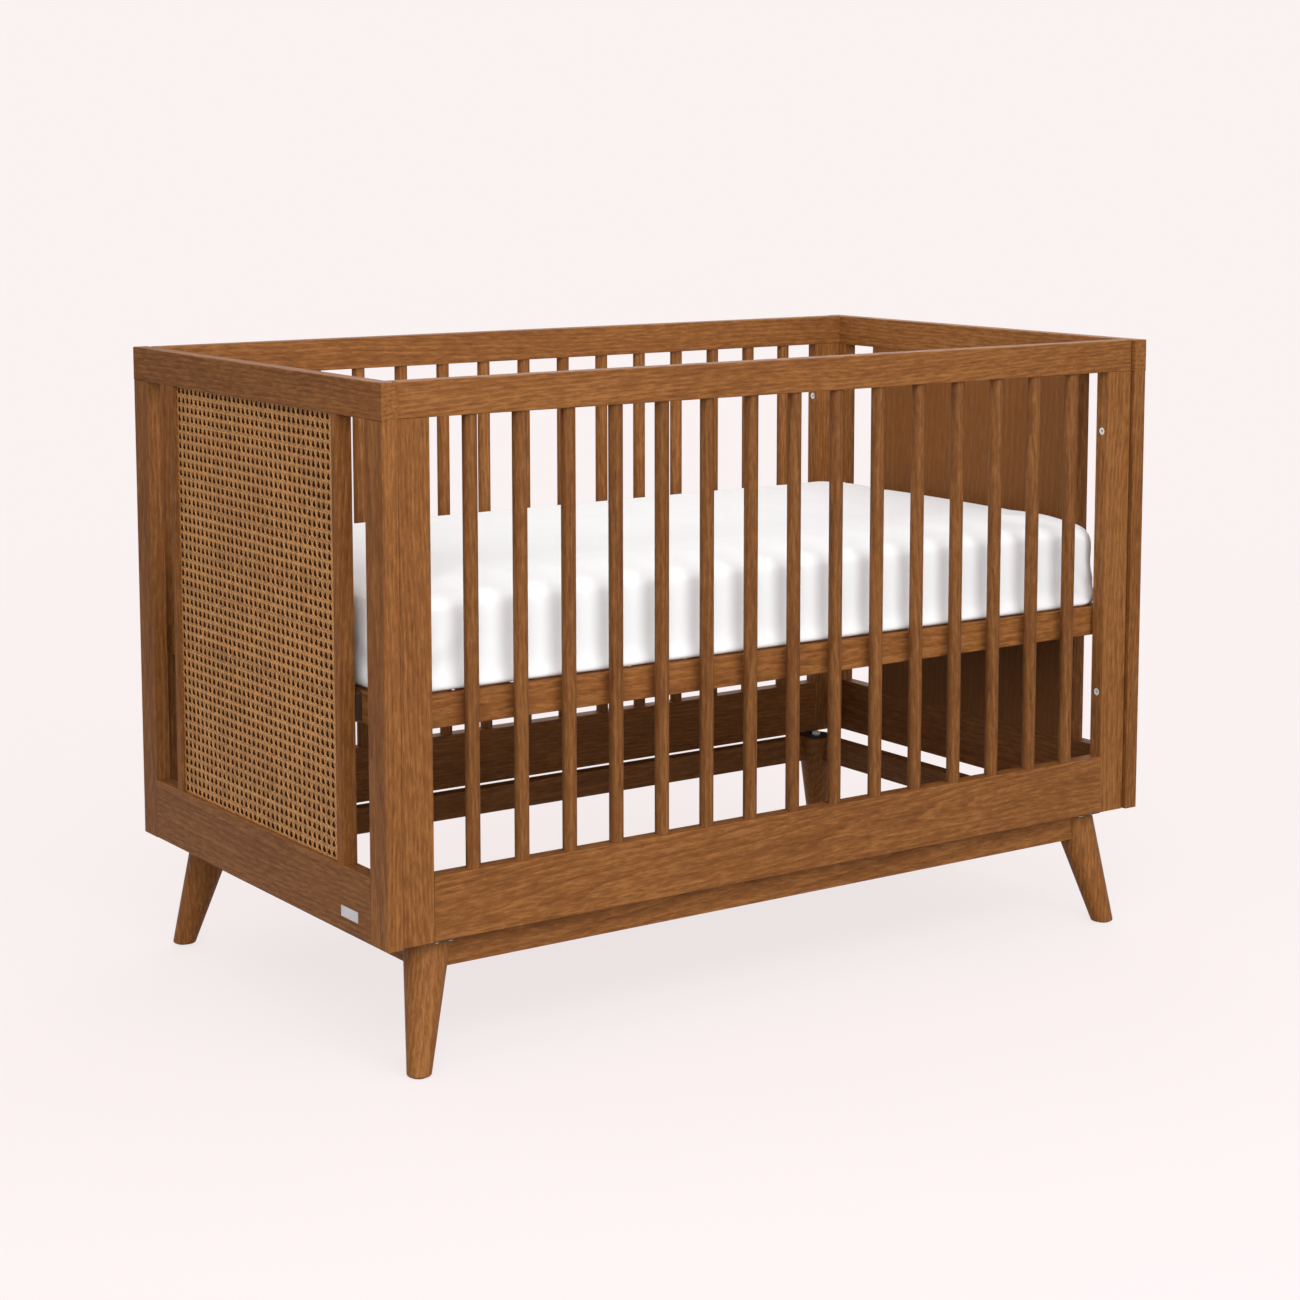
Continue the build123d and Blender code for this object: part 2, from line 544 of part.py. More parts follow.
def make_base_fastenings():
    """Make the base dowels, leg plates, leg bolts, plate screws and foot glides."""
    corners = [(x_sign, y_sign) for x_sign in ENDS.values() for y_sign in SIDES.values()]

    with BuildPart() as base_dowels:
        for x_sign, y_sign in corners:
            start = base_dowel_start(apron_dowel(x_sign, y_sign), ALONG_X)
            rod(start, ALONG_X, BASE_DOWEL_DIAMETER, BASE_DOWEL_LENGTH)
            start = base_dowel_start(cross_rail_dowel(x_sign, y_sign), ALONG_Y)
            rod(start, ALONG_Y, BASE_DOWEL_DIAMETER, BASE_DOWEL_LENGTH)
    save(base_dowels.part, "base_dowels")

    with BuildPart() as plates:
        for x_sign, y_sign in corners:
            x_limits = [x_sign * x for x in LEG_PLATE_X]
            y_limits = [y_sign * y for y in LEG_PLATE_Y]
            board(x_limits, y_limits, (BASE_TOP, BODY_BOTTOM))
            bolt_hole = Vector(x_sign * LEG_TOP_X, y_sign * LEG_TOP_Y, BODY_BOTTOM)
            drill([bolt_hole], -ALONG_Z, LEG_BOLT_DIAMETER, LEG_PLATE_THICK)
            screw_holes = [Vector(x_sign * x, y_sign * SIDE_MID_Y, BODY_BOTTOM) for x in PLATE_SCREW_X]
            drill(screw_holes, -ALONG_Z, PLATE_SCREW_DIAMETER, LEG_PLATE_THICK)
        fillet(edges().filter_by(Axis.Z).filter_by(GeomType.LINE), LEG_PLATE_CORNER)
    save(plates.part, "leg_plates")

    with BuildPart() as bolts:
        for x_sign, y_sign in corners:
            seat = Vector(x_sign * LEG_TOP_X, y_sign * LEG_TOP_Y, BODY_BOTTOM)
            rod(seat, -ALONG_Z, LEG_BOLT_DIAMETER, LEG_BOLT_LENGTH)
            with BuildSketch(Plane(seat)):
                RegularPolygon(LEG_BOLT_FLATS / 2, 6, major_radius=False)
            extrude(amount=LEG_BOLT_HEAD)
    save(bolts.part, "leg_bolts")

    with BuildPart() as screws:
        for x_sign, y_sign in corners:
            for x in PLATE_SCREW_X:
                seat = Vector(x_sign * x, y_sign * SIDE_MID_Y, BASE_TOP)
                rod(seat, ALONG_Z, PLATE_SCREW_DIAMETER, PLATE_SCREW_LENGTH)
                rod(seat, -ALONG_Z, PLATE_SCREW_HEAD_DIAMETER, PLATE_SCREW_HEAD)
    save(screws.part, "leg_plate_screws")

    with BuildPart() as glides:
        for x_sign, y_sign in corners:
            floor_point = Vector(x_sign * FOOT_X, y_sign * FOOT_Y, 0)
            rod(floor_point, ALONG_Z, GLIDE_DIAMETER, GLIDE_THICK)
            rod(floor_point, ALONG_Z, GLIDE_PIN_DIAMETER, GLIDE_THICK + GLIDE_PIN)
    save(glides.part, "foot_glides")


# ---- mattress support ---------------------------------------------------------------------------
def make_support():
    """Make the rail frame, ledgers, centre rail, slats, pads and bolts that carry the mattress."""
    z_limits = (SUPPORT_BOTTOM, SUPPORT_TOP)
    inner_x = SUPPORT_HALF_X - SUPPORT_THICK

    for side, y_sign in SIDES.items():
        with BuildPart() as long_rail:
            y_limits = (y_sign * SLAT_HALF_Y, y_sign * SUPPORT_HALF_Y)
            board((-SUPPORT_HALF_X, SUPPORT_HALF_X), y_limits, z_limits, Axis.X)
        save(long_rail.part, f"support_{side}_rail")

        with BuildPart() as ledger:
            y_limits = (y_sign * (SLAT_HALF_Y - LEDGER), y_sign * SLAT_HALF_Y)
            board((-inner_x, inner_x), y_limits, (SLAT_BOTTOM - LEDGER, SLAT_BOTTOM))
        save(ledger.part, f"support_{side}_ledger")

    for end, x_sign in ENDS.items():
        with BuildPart() as end_rail:
            x_limits = (x_sign * inner_x, x_sign * SUPPORT_HALF_X)
            board(x_limits, (-SLAT_HALF_Y, SLAT_HALF_Y), z_limits, Axis.Y)
            starts = [Vector(x_limits[0], y_sign * SUPPORT_BOLT_Y, SUPPORT_MID_Z) for y_sign in (-1, 1)]
            drill(starts, ALONG_X * x_sign, BOLT_DIAMETER, SUPPORT_THICK)
        save(end_rail.part, f"support_{end}_rail")

    with BuildPart() as centre_rail:
        board((-inner_x, inner_x), (-SUPPORT_THICK / 2, SUPPORT_THICK / 2), (SUPPORT_BOTTOM, SLAT_BOTTOM))
    save(centre_rail.part, "support_centre_rail")

    with BuildPart() as slats:
        for x in SLAT_XS:
            x_limits = (x - SLAT_WIDTH / 2, x + SLAT_WIDTH / 2)
            board(x_limits, (-SLAT_HALF_Y, SLAT_HALF_Y), (SLAT_BOTTOM, SUPPORT_TOP))
        fillet(edges().filter_by(Axis.Y), EDGE_ROUND)
    save(slats.part, "support_slats")

    pad_outer = END_INNER_X - PAD_GAP
    with BuildPart() as pads:
        for x_sign in ENDS.values():
            for y_sign in SIDES.values():
                y = y_sign * (SUPPORT_BOLT_Y - PAD_INSET)
                y_limits = (y - PAD_WIDTH / 2, y + PAD_WIDTH / 2)
                heights = (SUPPORT_MID_Z - PAD_HEIGHT / 2, SUPPORT_MID_Z + PAD_HEIGHT / 2)
                board((x_sign * SUPPORT_HALF_X, x_sign * pad_outer), y_limits, heights)
                start = Vector(x_sign * SUPPORT_HALF_X, y_sign * SUPPORT_BOLT_Y, SUPPORT_MID_Z)
                drill([start], ALONG_X * x_sign, BOLT_DIAMETER, pad_outer - SUPPORT_HALF_X)
        fillet(edges().filter_by(Axis.X).filter_by(GeomType.LINE), PAD_CORNER)
    save(pads.part, "support_pads")

    with BuildPart() as bolts:
        for x_sign in ENDS.values():
            for y_sign in SIDES.values():
                head = Vector(x_sign * (inner_x - BOLT_HEAD), y_sign * SUPPORT_BOLT_Y, SUPPORT_MID_Z)
                socket_bolt(head, ALONG_X * x_sign, pad_outer - inner_x)
    save(bolts.part, "support_bolts")


def make_mattress():
    """Make the mattress as a soft shell with rounded edges, hollow inside."""
    bottom = SUPPORT_TOP + SOFT_GAP
    with BuildPart() as mattress:
        with BuildSketch(Plane.XY.offset(bottom)):
            RectangleRounded(MATTRESS_LENGTH, MATTRESS_WIDTH, MATTRESS_CORNER)
        extrude(amount=MATTRESS_THICK)
        fillet(edges().group_by(Axis.Z)[0] + edges().group_by(Axis.Z)[-1], MATTRESS_ROUND)
        with BuildSketch(Plane.XY.offset(bottom + MATTRESS_WALL)):
            inner_corner = MATTRESS_CORNER - MATTRESS_WALL
            inner_length = MATTRESS_LENGTH - 2 * MATTRESS_WALL - MATTRESS_ROUND / 2
            inner_width = MATTRESS_WIDTH - 2 * MATTRESS_WALL - MATTRESS_ROUND / 2
            RectangleRounded(inner_length, inner_width, inner_corner)
        extrude(amount=MATTRESS_THICK - 2 * MATTRESS_WALL, mode=Mode.SUBTRACT)
    save(mattress.part, "mattress")


os.makedirs("parts", exist_ok=True)
for end_name, end_sign in ENDS.items():
    make_end_panel(end_name, end_sign)
make_name_plate()
for side_name, side_sign in SIDES.items():
    make_side_panel(side_name, side_sign)
make_frame_dowels()
make_panel_fasteners()
leg_parts = make_legs()
make_base_rails(leg_parts)
make_base_fastenings()
make_support()
make_mattress()
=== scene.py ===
"""Baby crib with cane end panels: wood finishes, woven cane, dressed mattress and studio round its frame.
"""

import math

import bpy
import numpy as np
from bpy.props import FloatProperty, FloatVectorProperty, IntProperty, PointerProperty
from mathutils import Euler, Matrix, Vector
from mathutils.bvhtree import BVHTree


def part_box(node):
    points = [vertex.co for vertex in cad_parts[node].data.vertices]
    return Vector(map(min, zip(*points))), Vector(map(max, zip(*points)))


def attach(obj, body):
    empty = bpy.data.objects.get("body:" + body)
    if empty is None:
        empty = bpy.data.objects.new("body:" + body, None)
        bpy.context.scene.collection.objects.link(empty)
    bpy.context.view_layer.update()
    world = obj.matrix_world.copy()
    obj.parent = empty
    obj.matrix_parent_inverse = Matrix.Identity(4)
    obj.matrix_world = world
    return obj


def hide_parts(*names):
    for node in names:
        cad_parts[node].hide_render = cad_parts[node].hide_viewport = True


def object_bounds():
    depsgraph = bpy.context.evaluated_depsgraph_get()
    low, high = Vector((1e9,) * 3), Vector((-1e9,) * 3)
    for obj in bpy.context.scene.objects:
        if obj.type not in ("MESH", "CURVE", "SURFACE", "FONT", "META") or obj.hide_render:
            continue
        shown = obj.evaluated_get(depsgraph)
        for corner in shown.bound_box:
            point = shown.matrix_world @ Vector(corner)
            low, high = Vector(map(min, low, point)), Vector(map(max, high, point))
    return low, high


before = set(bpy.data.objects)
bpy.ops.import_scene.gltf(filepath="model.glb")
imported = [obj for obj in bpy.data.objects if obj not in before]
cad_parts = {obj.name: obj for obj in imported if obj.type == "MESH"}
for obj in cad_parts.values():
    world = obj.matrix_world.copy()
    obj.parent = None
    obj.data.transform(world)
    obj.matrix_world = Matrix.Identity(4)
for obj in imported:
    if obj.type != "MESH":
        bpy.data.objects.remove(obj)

bl_info = {
    "name": "Cane-end baby crib",
    "version": (1, 0, 0),
    "blender": (4, 5, 0),
    "location": "3D View > Sidebar > Crib",
    "description": "Finishes the crib's boards and hardware, weaves its cane and dresses its mattress",
    "category": "Object",
}

CAD_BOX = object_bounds()
ENDS = ("left", "right")


# ---------------------------------------------------------------- settings


class CribWoodSettings(bpy.types.PropertyGroup):
    """Stain colours and grain of the wooden pieces."""

    dark: FloatVectorProperty(
        name="Dark grain", description="Stain where it soaks into the open grain",
        subtype="COLOR", size=3, min=0, max=1, default=(0.118, 0.0386, 0.0097),
    )
    middle: FloatVectorProperty(
        name="Middle tone", description="Stain over most of a board",
        subtype="COLOR", size=3, min=0, max=1, default=(0.232, 0.0880, 0.0225),
    )
    light: FloatVectorProperty(
        name="Light grain", description="Stain on the dense late wood",
        subtype="COLOR", size=3, min=0, max=1, default=(0.366, 0.159, 0.050),
    )
    ring_gap: FloatProperty(
        name="Ring gap", description="Distance between two growth rings of the solid boards",
        unit="LENGTH", default=0.0065, min=0.001, max=0.05,
    )
    veneer_ring_gap: FloatProperty(
        name="Veneer ring gap", description="Distance between two growth rings of the veneered end boards",
        unit="LENGTH", default=0.0125, min=0.001, max=0.05,
    )
    fleck: FloatProperty(
        name="Fleck width", description="Width of the short streaks in the grain",
        unit="LENGTH", default=0.0019, min=0.0005, max=0.02,
    )
    pore: FloatProperty(
        name="Pore width", description="Width of the fine open pores",
        unit="LENGTH", default=0.0009, min=0.0002, max=0.01,
    )
    pore_depth: FloatProperty(
        name="Pore depth", description="How deep the pores stand under the lacquer",
        unit="LENGTH", default=0.00025, min=0, max=0.002,
    )
    gloss: FloatProperty(
        name="Roughness", description="Roughness of the satin lacquer",
        subtype="FACTOR", default=0.56, min=0, max=1,
    )


class CribCaneSettings(bpy.types.PropertyGroup):
    """Size and colour of the woven cane."""

    columns: IntProperty(
        name="Columns", description="Rows of holes across a panel", default=35, min=4, max=80,
    )
    rows: IntProperty(
        name="Rows", description="Rows of holes up a panel", default=45, min=4, max=100,
    )
    strand_width: FloatProperty(
        name="Strand width", description="Width of one strand",
        unit="LENGTH", default=0.0020, min=0.0005, max=0.01,
    )
    strand_thickness: FloatProperty(
        name="Strand thickness", description="Thickness of one strand",
        unit="LENGTH", default=0.0009, min=0.0002, max=0.005,
    )
    pair_gap: FloatProperty(
        name="Pair spacing", description="Distance between the two strands of a pair, centre to centre",
        unit="LENGTH", default=0.0022, min=0.0005, max=0.01,
    )
    weave: FloatProperty(
        name="Weave height", description="How far a strand rises and dips where it crosses another",
        unit="LENGTH", default=0.0005, min=0, max=0.003,
    )
    skin: FloatVectorProperty(
        name="Skin", description="Colour of the cane's glossy skin",
        subtype="COLOR", size=3, min=0, max=1, default=(0.720, 0.346, 0.103),
    )
    # Blended in towards each strand's edges and in its darker strands and fibres.
    shade: FloatVectorProperty(
        name="Shade", description="Colour of the cane where stain settled",
        subtype="COLOR", size=3, min=0, max=1, default=(0.230, 0.092, 0.024),
    )


class CribMattressSettings(bpy.types.PropertyGroup):
    """Shape and sheet of the mattress."""

    inset: FloatProperty(
        name="Starting inset", description="How much smaller the core starts before it swells",
        unit="LENGTH", default=0.001, min=0, max=0.03,
    )
    edge: FloatProperty(
        name="Edge radius", description="Rounding of the mattress's long edges",
        unit="LENGTH", default=0.023, min=0.005, max=0.06,
    )
    corner: FloatProperty(
        name="Corner radius", description="Rounding of its four upright corners",
        unit="LENGTH", default=0.044, min=0.005, max=0.2,
    )
    droop: FloatProperty(
        name="Corner droop", description="How much lower the top lies near its corners",
        unit="LENGTH", default=0.014, min=0, max=0.05,
    )
    voxel: FloatProperty(
        name="Cloth cell", description="Size of the cloth's cells in the simulation",
        unit="LENGTH", default=0.009, min=0.004, max=0.02,
    )
    pressure: FloatProperty(
        name="Pressure", description="Pressure that swells the sheet over the core",
        default=4.0, min=0, max=20,
    )
    most_swell: FloatProperty(
        name="Most swell", description="The furthest that a point of the sheet may move",
        unit="LENGTH", default=0.009, min=0, max=0.03,
    )
    sheet: FloatVectorProperty(
        name="Sheet", description="Colour of the fitted sheet",
        subtype="COLOR", size=3, min=0, max=1, default=(0.915, 0.925, 0.935),
    )


class CribStageSettings(bpy.types.PropertyGroup):
    """Floor, light and camera."""

    pale: FloatVectorProperty(
        name="Background", description="Colour of the pale backdrop and floor",
        subtype="COLOR", size=3, min=0, max=1, default=(0.965, 0.888, 0.888),
    )
    camera_place: FloatVectorProperty(
        name="Camera", description="Where the camera stands",
        subtype="TRANSLATION", unit="LENGTH", size=3, default=(-2.3501, -3.3952, 1.2422),
    )
    heading: FloatProperty(
        name="Heading", description="How far the camera turns from straight on, towards the right end",
        subtype="ANGLE", unit="ROTATION", default=math.radians(35.013),
    )
    tilt: FloatProperty(
        name="Tilt", description="How far the camera looks down",
        subtype="ANGLE", unit="ROTATION", default=math.radians(7.107),
    )
    lens: FloatProperty(
        name="Focal length", description="Focal length of the camera on a 36 mm wide sensor, in millimetres",
        default=73.657, min=10, max=300,
    )
    key_power: FloatProperty(
        name="Key light", description="Power of the large soft light at the front, in watts",
        default=190, min=0, max=2000,
    )
    top_power: FloatProperty(
        name="Top light", description="Power of the soft light overhead, in watts",
        default=10, min=0, max=2000,
    )
    side_power: FloatProperty(
        name="Side light", description="Power of the soft light at the left end, in watts",
        default=28, min=0, max=2000,
    )
    back_power: FloatProperty(
        name="Back light", description="Power of the soft light behind, in watts",
        default=30, min=0, max=2000,
    )
    fill: FloatProperty(
        name="Fill", description="Strength of the even light just above the horizon",
        default=1.07, min=0, max=5,
    )
    high_share: FloatProperty(
        name="High share", description="Share of that strength that is left straight overhead",
        subtype="FACTOR", default=0.62, min=0, max=1,
    )
    low_fill: FloatProperty(
        name="Low fill", description="Strength of the even light from below it",
        default=0.05, min=0, max=5,
    )
    floor_glow: FloatProperty(
        name="Floor glow", description="Share of the floor's tone that no shadow darkens",
        subtype="FACTOR", default=0.80, min=0, max=1,
    )


# ---------------------------------------------------------------- shader helpers


def new_finish(name):
    """A material with a Principled shader joined to its output, as (material, tree, shader)."""
    made = bpy.data.materials.new(name)
    made.use_nodes = True
    tree = made.node_tree
    tree.nodes.clear()
    output = tree.nodes.new("ShaderNodeOutputMaterial")
    shader = tree.nodes.new("ShaderNodeBsdfPrincipled")
    tree.links.new(shader.outputs[0], output.inputs["Surface"])
    return made, tree, shader


def feed(tree, node, inputs):
    """Gives a node's inputs, by name or number, their values or the sockets that feed them."""
    for key, value in inputs.items():
        if isinstance(value, bpy.types.NodeSocket):
            tree.links.new(value, node.inputs[key])
        else:
            node.inputs[key].default_value = value


def add(tree, kind, inputs=None, **settings):
    """Adds a shader node with these inputs and settings."""
    made = tree.nodes.new("ShaderNode" + kind)
    for key, value in settings.items():
        setattr(made, key, value)
    feed(tree, made, inputs or {})
    return made


def calculate(tree, operation, first, second=0.0):
    """A Math node's output socket."""
    return add(tree, "Math", {0: first, 1: second}, operation=operation).outputs[0]


def add_up(tree, parts):
    """The sum of several (value, weight) parts."""
    total = calculate(tree, "MULTIPLY", *parts[0])
    for value, weight in parts[1:]:
        weighted = add(tree, "Math", {0: value, 1: weight, 2: total}, operation="MULTIPLY_ADD")
        total = weighted.outputs[0]
    return total


def stretch(tree, vector, x, y, z):
    """The vector times (x, y, z)."""
    return add(tree, "VectorMath", {0: vector, 1: (x, y, z)}, operation="MULTIPLY").outputs[0]


def noise(tree, vector, scale, detail=2.0, roughness=0.5, output=0):
    """A Noise Texture's output, 0 for its value and 1 for its colour."""
    made = add(tree, "TexNoise", {"Vector": vector, "Scale": scale, "Detail": detail, "Roughness": roughness})
    return made.outputs[output]


def remap(tree, value, low, high, new_low=0.0, new_high=1.0):
    """The value taken from low..high to new_low..new_high and clamped."""
    inputs = {"Value": value, "From Min": low, "From Max": high, "To Min": new_low, "To Max": new_high}
    return add(tree, "MapRange", inputs).outputs[0]


def blend_colour(tree, share, first, second):
    """The mix of two colours, given as sockets or as three numbers, with the share of the second."""
    colours = [
        colour if isinstance(colour, bpy.types.NodeSocket) else (*colour, 1.0) for colour in (first, second)
    ]
    return add(tree, "Mix", {0: share, 6: colours[0], 7: colours[1]}, data_type="RGBA").outputs[2]


def shaded(colour, share):
    """A colour's three channels times a share."""
    return [channel * share for channel in colour]


def mottled(tree, pattern, colour, share):
    """The colour where a noise pattern is high, and the share of it where the pattern is low."""
    return blend_colour(tree, remap(tree, pattern, 0.3, 0.7), shaded(colour, share), colour)


def thread_waves(tree, place, axes, scale, distortion):
    """Fine waves across each of the axes, as a list of values that are 1 on a thread and 0 between two.
    """
    inputs = {"Vector": place, "Scale": scale, "Distortion": distortion}
    return [add(tree, "TexWave", inputs, bands_direction=axis).outputs["Fac"] for axis in axes]


def raise_bump(tree, shader, height, depth, strength=1.0):
    """Feeds the shader's normal from a height between 0 and 1 that stands for depth in metres."""
    bump = add(tree, "Bump", {"Height": height, "Distance": depth, "Strength": strength})
    tree.links.new(bump.outputs[0], shader.inputs["Normal"])


def own_coordinates(tree):
    """Object coordinates, which are metres in the crib's frame."""
    return add(tree, "TexCoord").outputs["Object"]


def put_on(node_name, material):
    """Gives a CAD node's only slot this finish."""
    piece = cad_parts[node_name]
    for place in range(len(piece.data.materials)):
        piece.data.materials[place] = material


# ---------------------------------------------------------------- wood


# How far each layer of the grain lightens a board.
RING_WEIGHT = 0.14
FLECK_WEIGHT = 0.86
STREAK_WEIGHT = 0.20
BLOTCH_WEIGHT = 0.32
# The grain's sums between which the dark tone turns into the middle one, and the middle one into the
# light.
DARK_TO_MIDDLE = (0.50, 0.82)
MIDDLE_TO_LIGHT = (0.78, 1.12)


def wood_figure():
    """The node group that all the wooden finishes share. It takes metres with Z along the grain, and
    gives the colour and the height of the surface. Growth rings are sheets round the pith, bent by slow
    noise. Flecks, streaks, pores and blotches are noise stretched along the grain."""
    name = "wood figure"
    if name in bpy.data.node_groups:
        return bpy.data.node_groups[name]
    group = bpy.data.node_groups.new(name, "ShaderNodeTree")
    sockets = (
        ("Vector", "NodeSocketVector"), ("Rings", "NodeSocketFloat"), ("Flecks", "NodeSocketFloat"),
        ("Pores", "NodeSocketFloat"), ("Dark", "NodeSocketColor"), ("Middle", "NodeSocketColor"),
        ("Light", "NodeSocketColor"),
    )
    for label, kind in sockets:
        group.interface.new_socket(label, in_out="INPUT", socket_type=kind)
    for label, kind in (("Colour", "NodeSocketColor"), ("Height", "NodeSocketFloat")):
        group.interface.new_socket(label, in_out="OUTPUT", socket_type=kind)
    given = group.nodes.new("NodeGroupInput").outputs
    place = given["Vector"]

    drift = noise(group, stretch(group, place, 1, 1, 0.22), 7.0, 2.0, 0.5, output=1)
    drift = add(group, "VectorMath", {0: drift, 1: (0.5, 0.5, 0.5)}, operation="SUBTRACT").outputs[0]
    drift = stretch(group, drift, 0.034, 0.034, 0)
    bent = add(group, "VectorMath", {0: place, 1: drift}, operation="ADD").outputs[0]
    rings = add(
        group, "TexWave",
        {"Vector": stretch(group, bent, 1, 1, 0.05), "Scale": given["Rings"], "Distortion": 1.6,
         "Detail": 3.0, "Detail Scale": 2.2, "Detail Roughness": 0.62},
        wave_type="RINGS", rings_direction="Z", wave_profile="SAW",
    ).outputs["Fac"]
    flecks = noise(group, stretch(group, bent, 1, 1, 0.15), given["Flecks"], 4.0, 0.68)
    streak_scale = calculate(group, "MULTIPLY", given["Flecks"], 0.3)
    streaks = noise(group, stretch(group, bent, 1, 1, 0.03), streak_scale, 2.0, 0.5)
    pores = noise(group, stretch(group, place, 1, 1, 0.04), given["Pores"], 2.0, 0.6)
    blotch = noise(group, stretch(group, place, 1, 1, 0.35), 6.5, 3.0, 0.55)

    layers = (rings, RING_WEIGHT), (flecks, FLECK_WEIGHT), (streaks, STREAK_WEIGHT), (blotch, BLOTCH_WEIGHT)
    figure = add_up(group, layers)
    colour = blend_colour(group, remap(group, figure, *DARK_TO_MIDDLE), given["Dark"], given["Middle"])
    lighter = blend_colour(group, remap(group, figure, *MIDDLE_TO_LIGHT), colour, given["Light"])
    open_pores = remap(group, pores, 0.60, 0.72)
    grain = calculate(group, "MULTIPLY", open_pores, remap(group, rings, 0.15, 0.75, 0.75, 0.25))
    finished = blend_colour(group, calculate(group, "MULTIPLY", grain, 0.55), lighter, given["Dark"])
    height = add_up(group, ((flecks, 0.4), (rings, 0.25), (grain, -1.0)))

    result = group.nodes.new("NodeGroupOutput").inputs
    group.links.new(finished, result["Colour"])
    group.links.new(height, result["Height"])
    return group


# How the crib's own axes turn so that the grain runs along Z.
GRAIN_TURNS = {"X": Euler((0, -math.pi / 2, 0)), "Y": Euler((math.pi / 2, 0, 0)), "Z": Euler((0, 0, 0))}


def wood_finish(name, grain, centre, colours, gaps, gloss, depth, seed):
    """One board's finish. The board is cut from a log whose pith lies beside it, a little askew, so that
    rings run out on its faces as arches. The seed picks where the pith lies and how light the board is.
    """
    made, tree, shader = new_finish(name)
    pick = np.random.default_rng(seed)
    askew = Euler(np.radians(pick.uniform(-2.2, 2.2, 3))).to_matrix()
    turn = askew @ GRAIN_TURNS[grain].to_matrix()
    side = pick.uniform(0, 2 * math.pi)
    reach = pick.uniform(0.045, 0.11)
    pith = Vector((math.cos(side) * reach, math.sin(side) * reach, pick.uniform(-2, 2)))
    mapping = add(tree, "Mapping", {
        "Vector": own_coordinates(tree), "Location": pith - turn @ Vector(centre),
        "Rotation": turn.to_euler(),
    })
    tone = pick.uniform(0.93, 1.06)
    dark, middle, light = ((*shaded(colour, tone), 1) for colour in colours)
    ring_gap, fleck, pore = gaps
    figure = add(tree, "Group", node_tree=wood_figure())
    # A Wave Texture has one ring every pi / (10 * scale). A noise's features are about 1 / (2 * scale)
    # wide.
    feed(tree, figure, {
        "Vector": mapping.outputs[0], "Rings": math.pi / (10 * ring_gap), "Flecks": 0.5 / fleck,
        "Pores": 0.5 / pore, "Dark": dark, "Middle": middle, "Light": light,
    })
    height = figure.outputs["Height"]
    feed(tree, shader, {
        "Base Color": figure.outputs["Colour"], "Specular IOR Level": 0.14,
        "Roughness": remap(tree, height, -0.6, 0.6, gloss + 0.12, gloss - 0.04),
    })
    raise_bump(tree, shader, height, depth)
    return made


def stain(wood, share=1.0):
    """The stain's three colours, lighter or darker by share."""
    return [shaded(colour, share) for colour in (wood.dark, wood.middle, wood.light)]


def sliced(colours):
    """A stain's colours on sliced veneer, which is more even than a sawn board."""
    dark, middle, light = (np.array(colour) for colour in colours)
    return (dark + 1.5 * middle) / 2.5, middle, (light + middle) / 2


PALE_WOOD = ((0.36, 0.19, 0.085), (0.56, 0.35, 0.18), (0.70, 0.49, 0.29))
BEECH = ((0.50, 0.30, 0.16), (0.66, 0.45, 0.27), (0.76, 0.58, 0.38))
VENEER_STAIN = 0.86
# Nodes whose grain doesn't run along their longest side.
GRAIN_OF_GROUPS = {
    "front_spindles": "Z", "back_spindles": "Z", "support_slats": "Y",
    "end_panel_dowels": "Z", "base_dowels": "X", "side_panel_dowels": "X",
}
WOOD_SLOTS = ("stained_oak", "oak_veneer", "slat_wood", "dowel_beech")


def slot_of(node_name):
    """The record's material slot of a CAD node, which is the name of its imported material."""
    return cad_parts[node_name].data.materials[0].name.split(".")[0]


def grain_of(node_name):
    """The axis that a board's grain runs along: upwards in legs and inner boards, as listed in groups of
    small pieces, and otherwise along the longest side."""
    if node_name in GRAIN_OF_GROUPS:
        return GRAIN_OF_GROUPS[node_name]
    if node_name.endswith(("_leg", "_board")):
        return "Z"
    low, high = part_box(node_name)
    sides = high - low
    return "XYZ"[max(range(3), key=lambda axis: sides[axis])]


# Boards painted darker or lighter than the rest: the front spindles with painted shade, the support's front
# rail with painted light.
LIGHT_AND_SHADE_SHARES = {"front_spindles": 0.80, "support_front_rail": 1.22}


class CRIB_OT_finish_boards(bpy.types.Operator):
    """Give every wooden board, spindle, leg, slat and dowel its own piece of grain"""

    bl_idname = "crib.finish_boards"
    bl_label = "Finish the boards"

    def execute(self, context):
        wood = context.scene.crib_wood
        solid = (wood.ring_gap, wood.fleck, wood.pore)
        veneer = (wood.veneer_ring_gap, wood.fleck, wood.pore)
        recipes = {
            "stained_oak": (stain(wood), solid),
            "oak_veneer": (sliced(stain(wood, VENEER_STAIN)), veneer),
            "slat_wood": (PALE_WOOD, solid),
            "dowel_beech": (BEECH, solid),
        }
        boards = [name for name in sorted(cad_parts) if slot_of(name) in WOOD_SLOTS]
        for seed, name in enumerate(boards):
            low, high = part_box(name)
            colours, gaps = recipes[slot_of(name)]
            # Painted light and shade: these boards take a scaled stain in place of the light and shade that
            # fall on them.
            if name in LIGHT_AND_SHADE_SHARES:
                colours = stain(wood, LIGHT_AND_SHADE_SHARES[name])
            centre = (low + high) / 2
            put_on(name, wood_finish(
                f"{name} wood", grain_of(name), centre, colours, gaps, wood.gloss, wood.pore_depth, seed,
            ))
        return {"FINISHED"}


# ---------------------------------------------------------------- metal and plastic


# Where the side panels' bolts lie: how far from the middle, and the mean and half the difference of their
# two heights.
BOLT_SIDE = 0.369
BOLT_MIDDLE = 0.5895
BOLT_RISE = 0.2095
SOCKET_RADIUS = 0.0025
ZINC = (1.0, 1.0, 0.98)
# Painted shade: the colour of the inside of each bolt's socket.
SOCKET_PAINTED_SHADE = (0.010, 0.008, 0.007)
METAL_LINE_DEPTH = 0.00004
PEBBLE_DEPTH = 0.00005
PEBBLE_SIZE = 0.0004


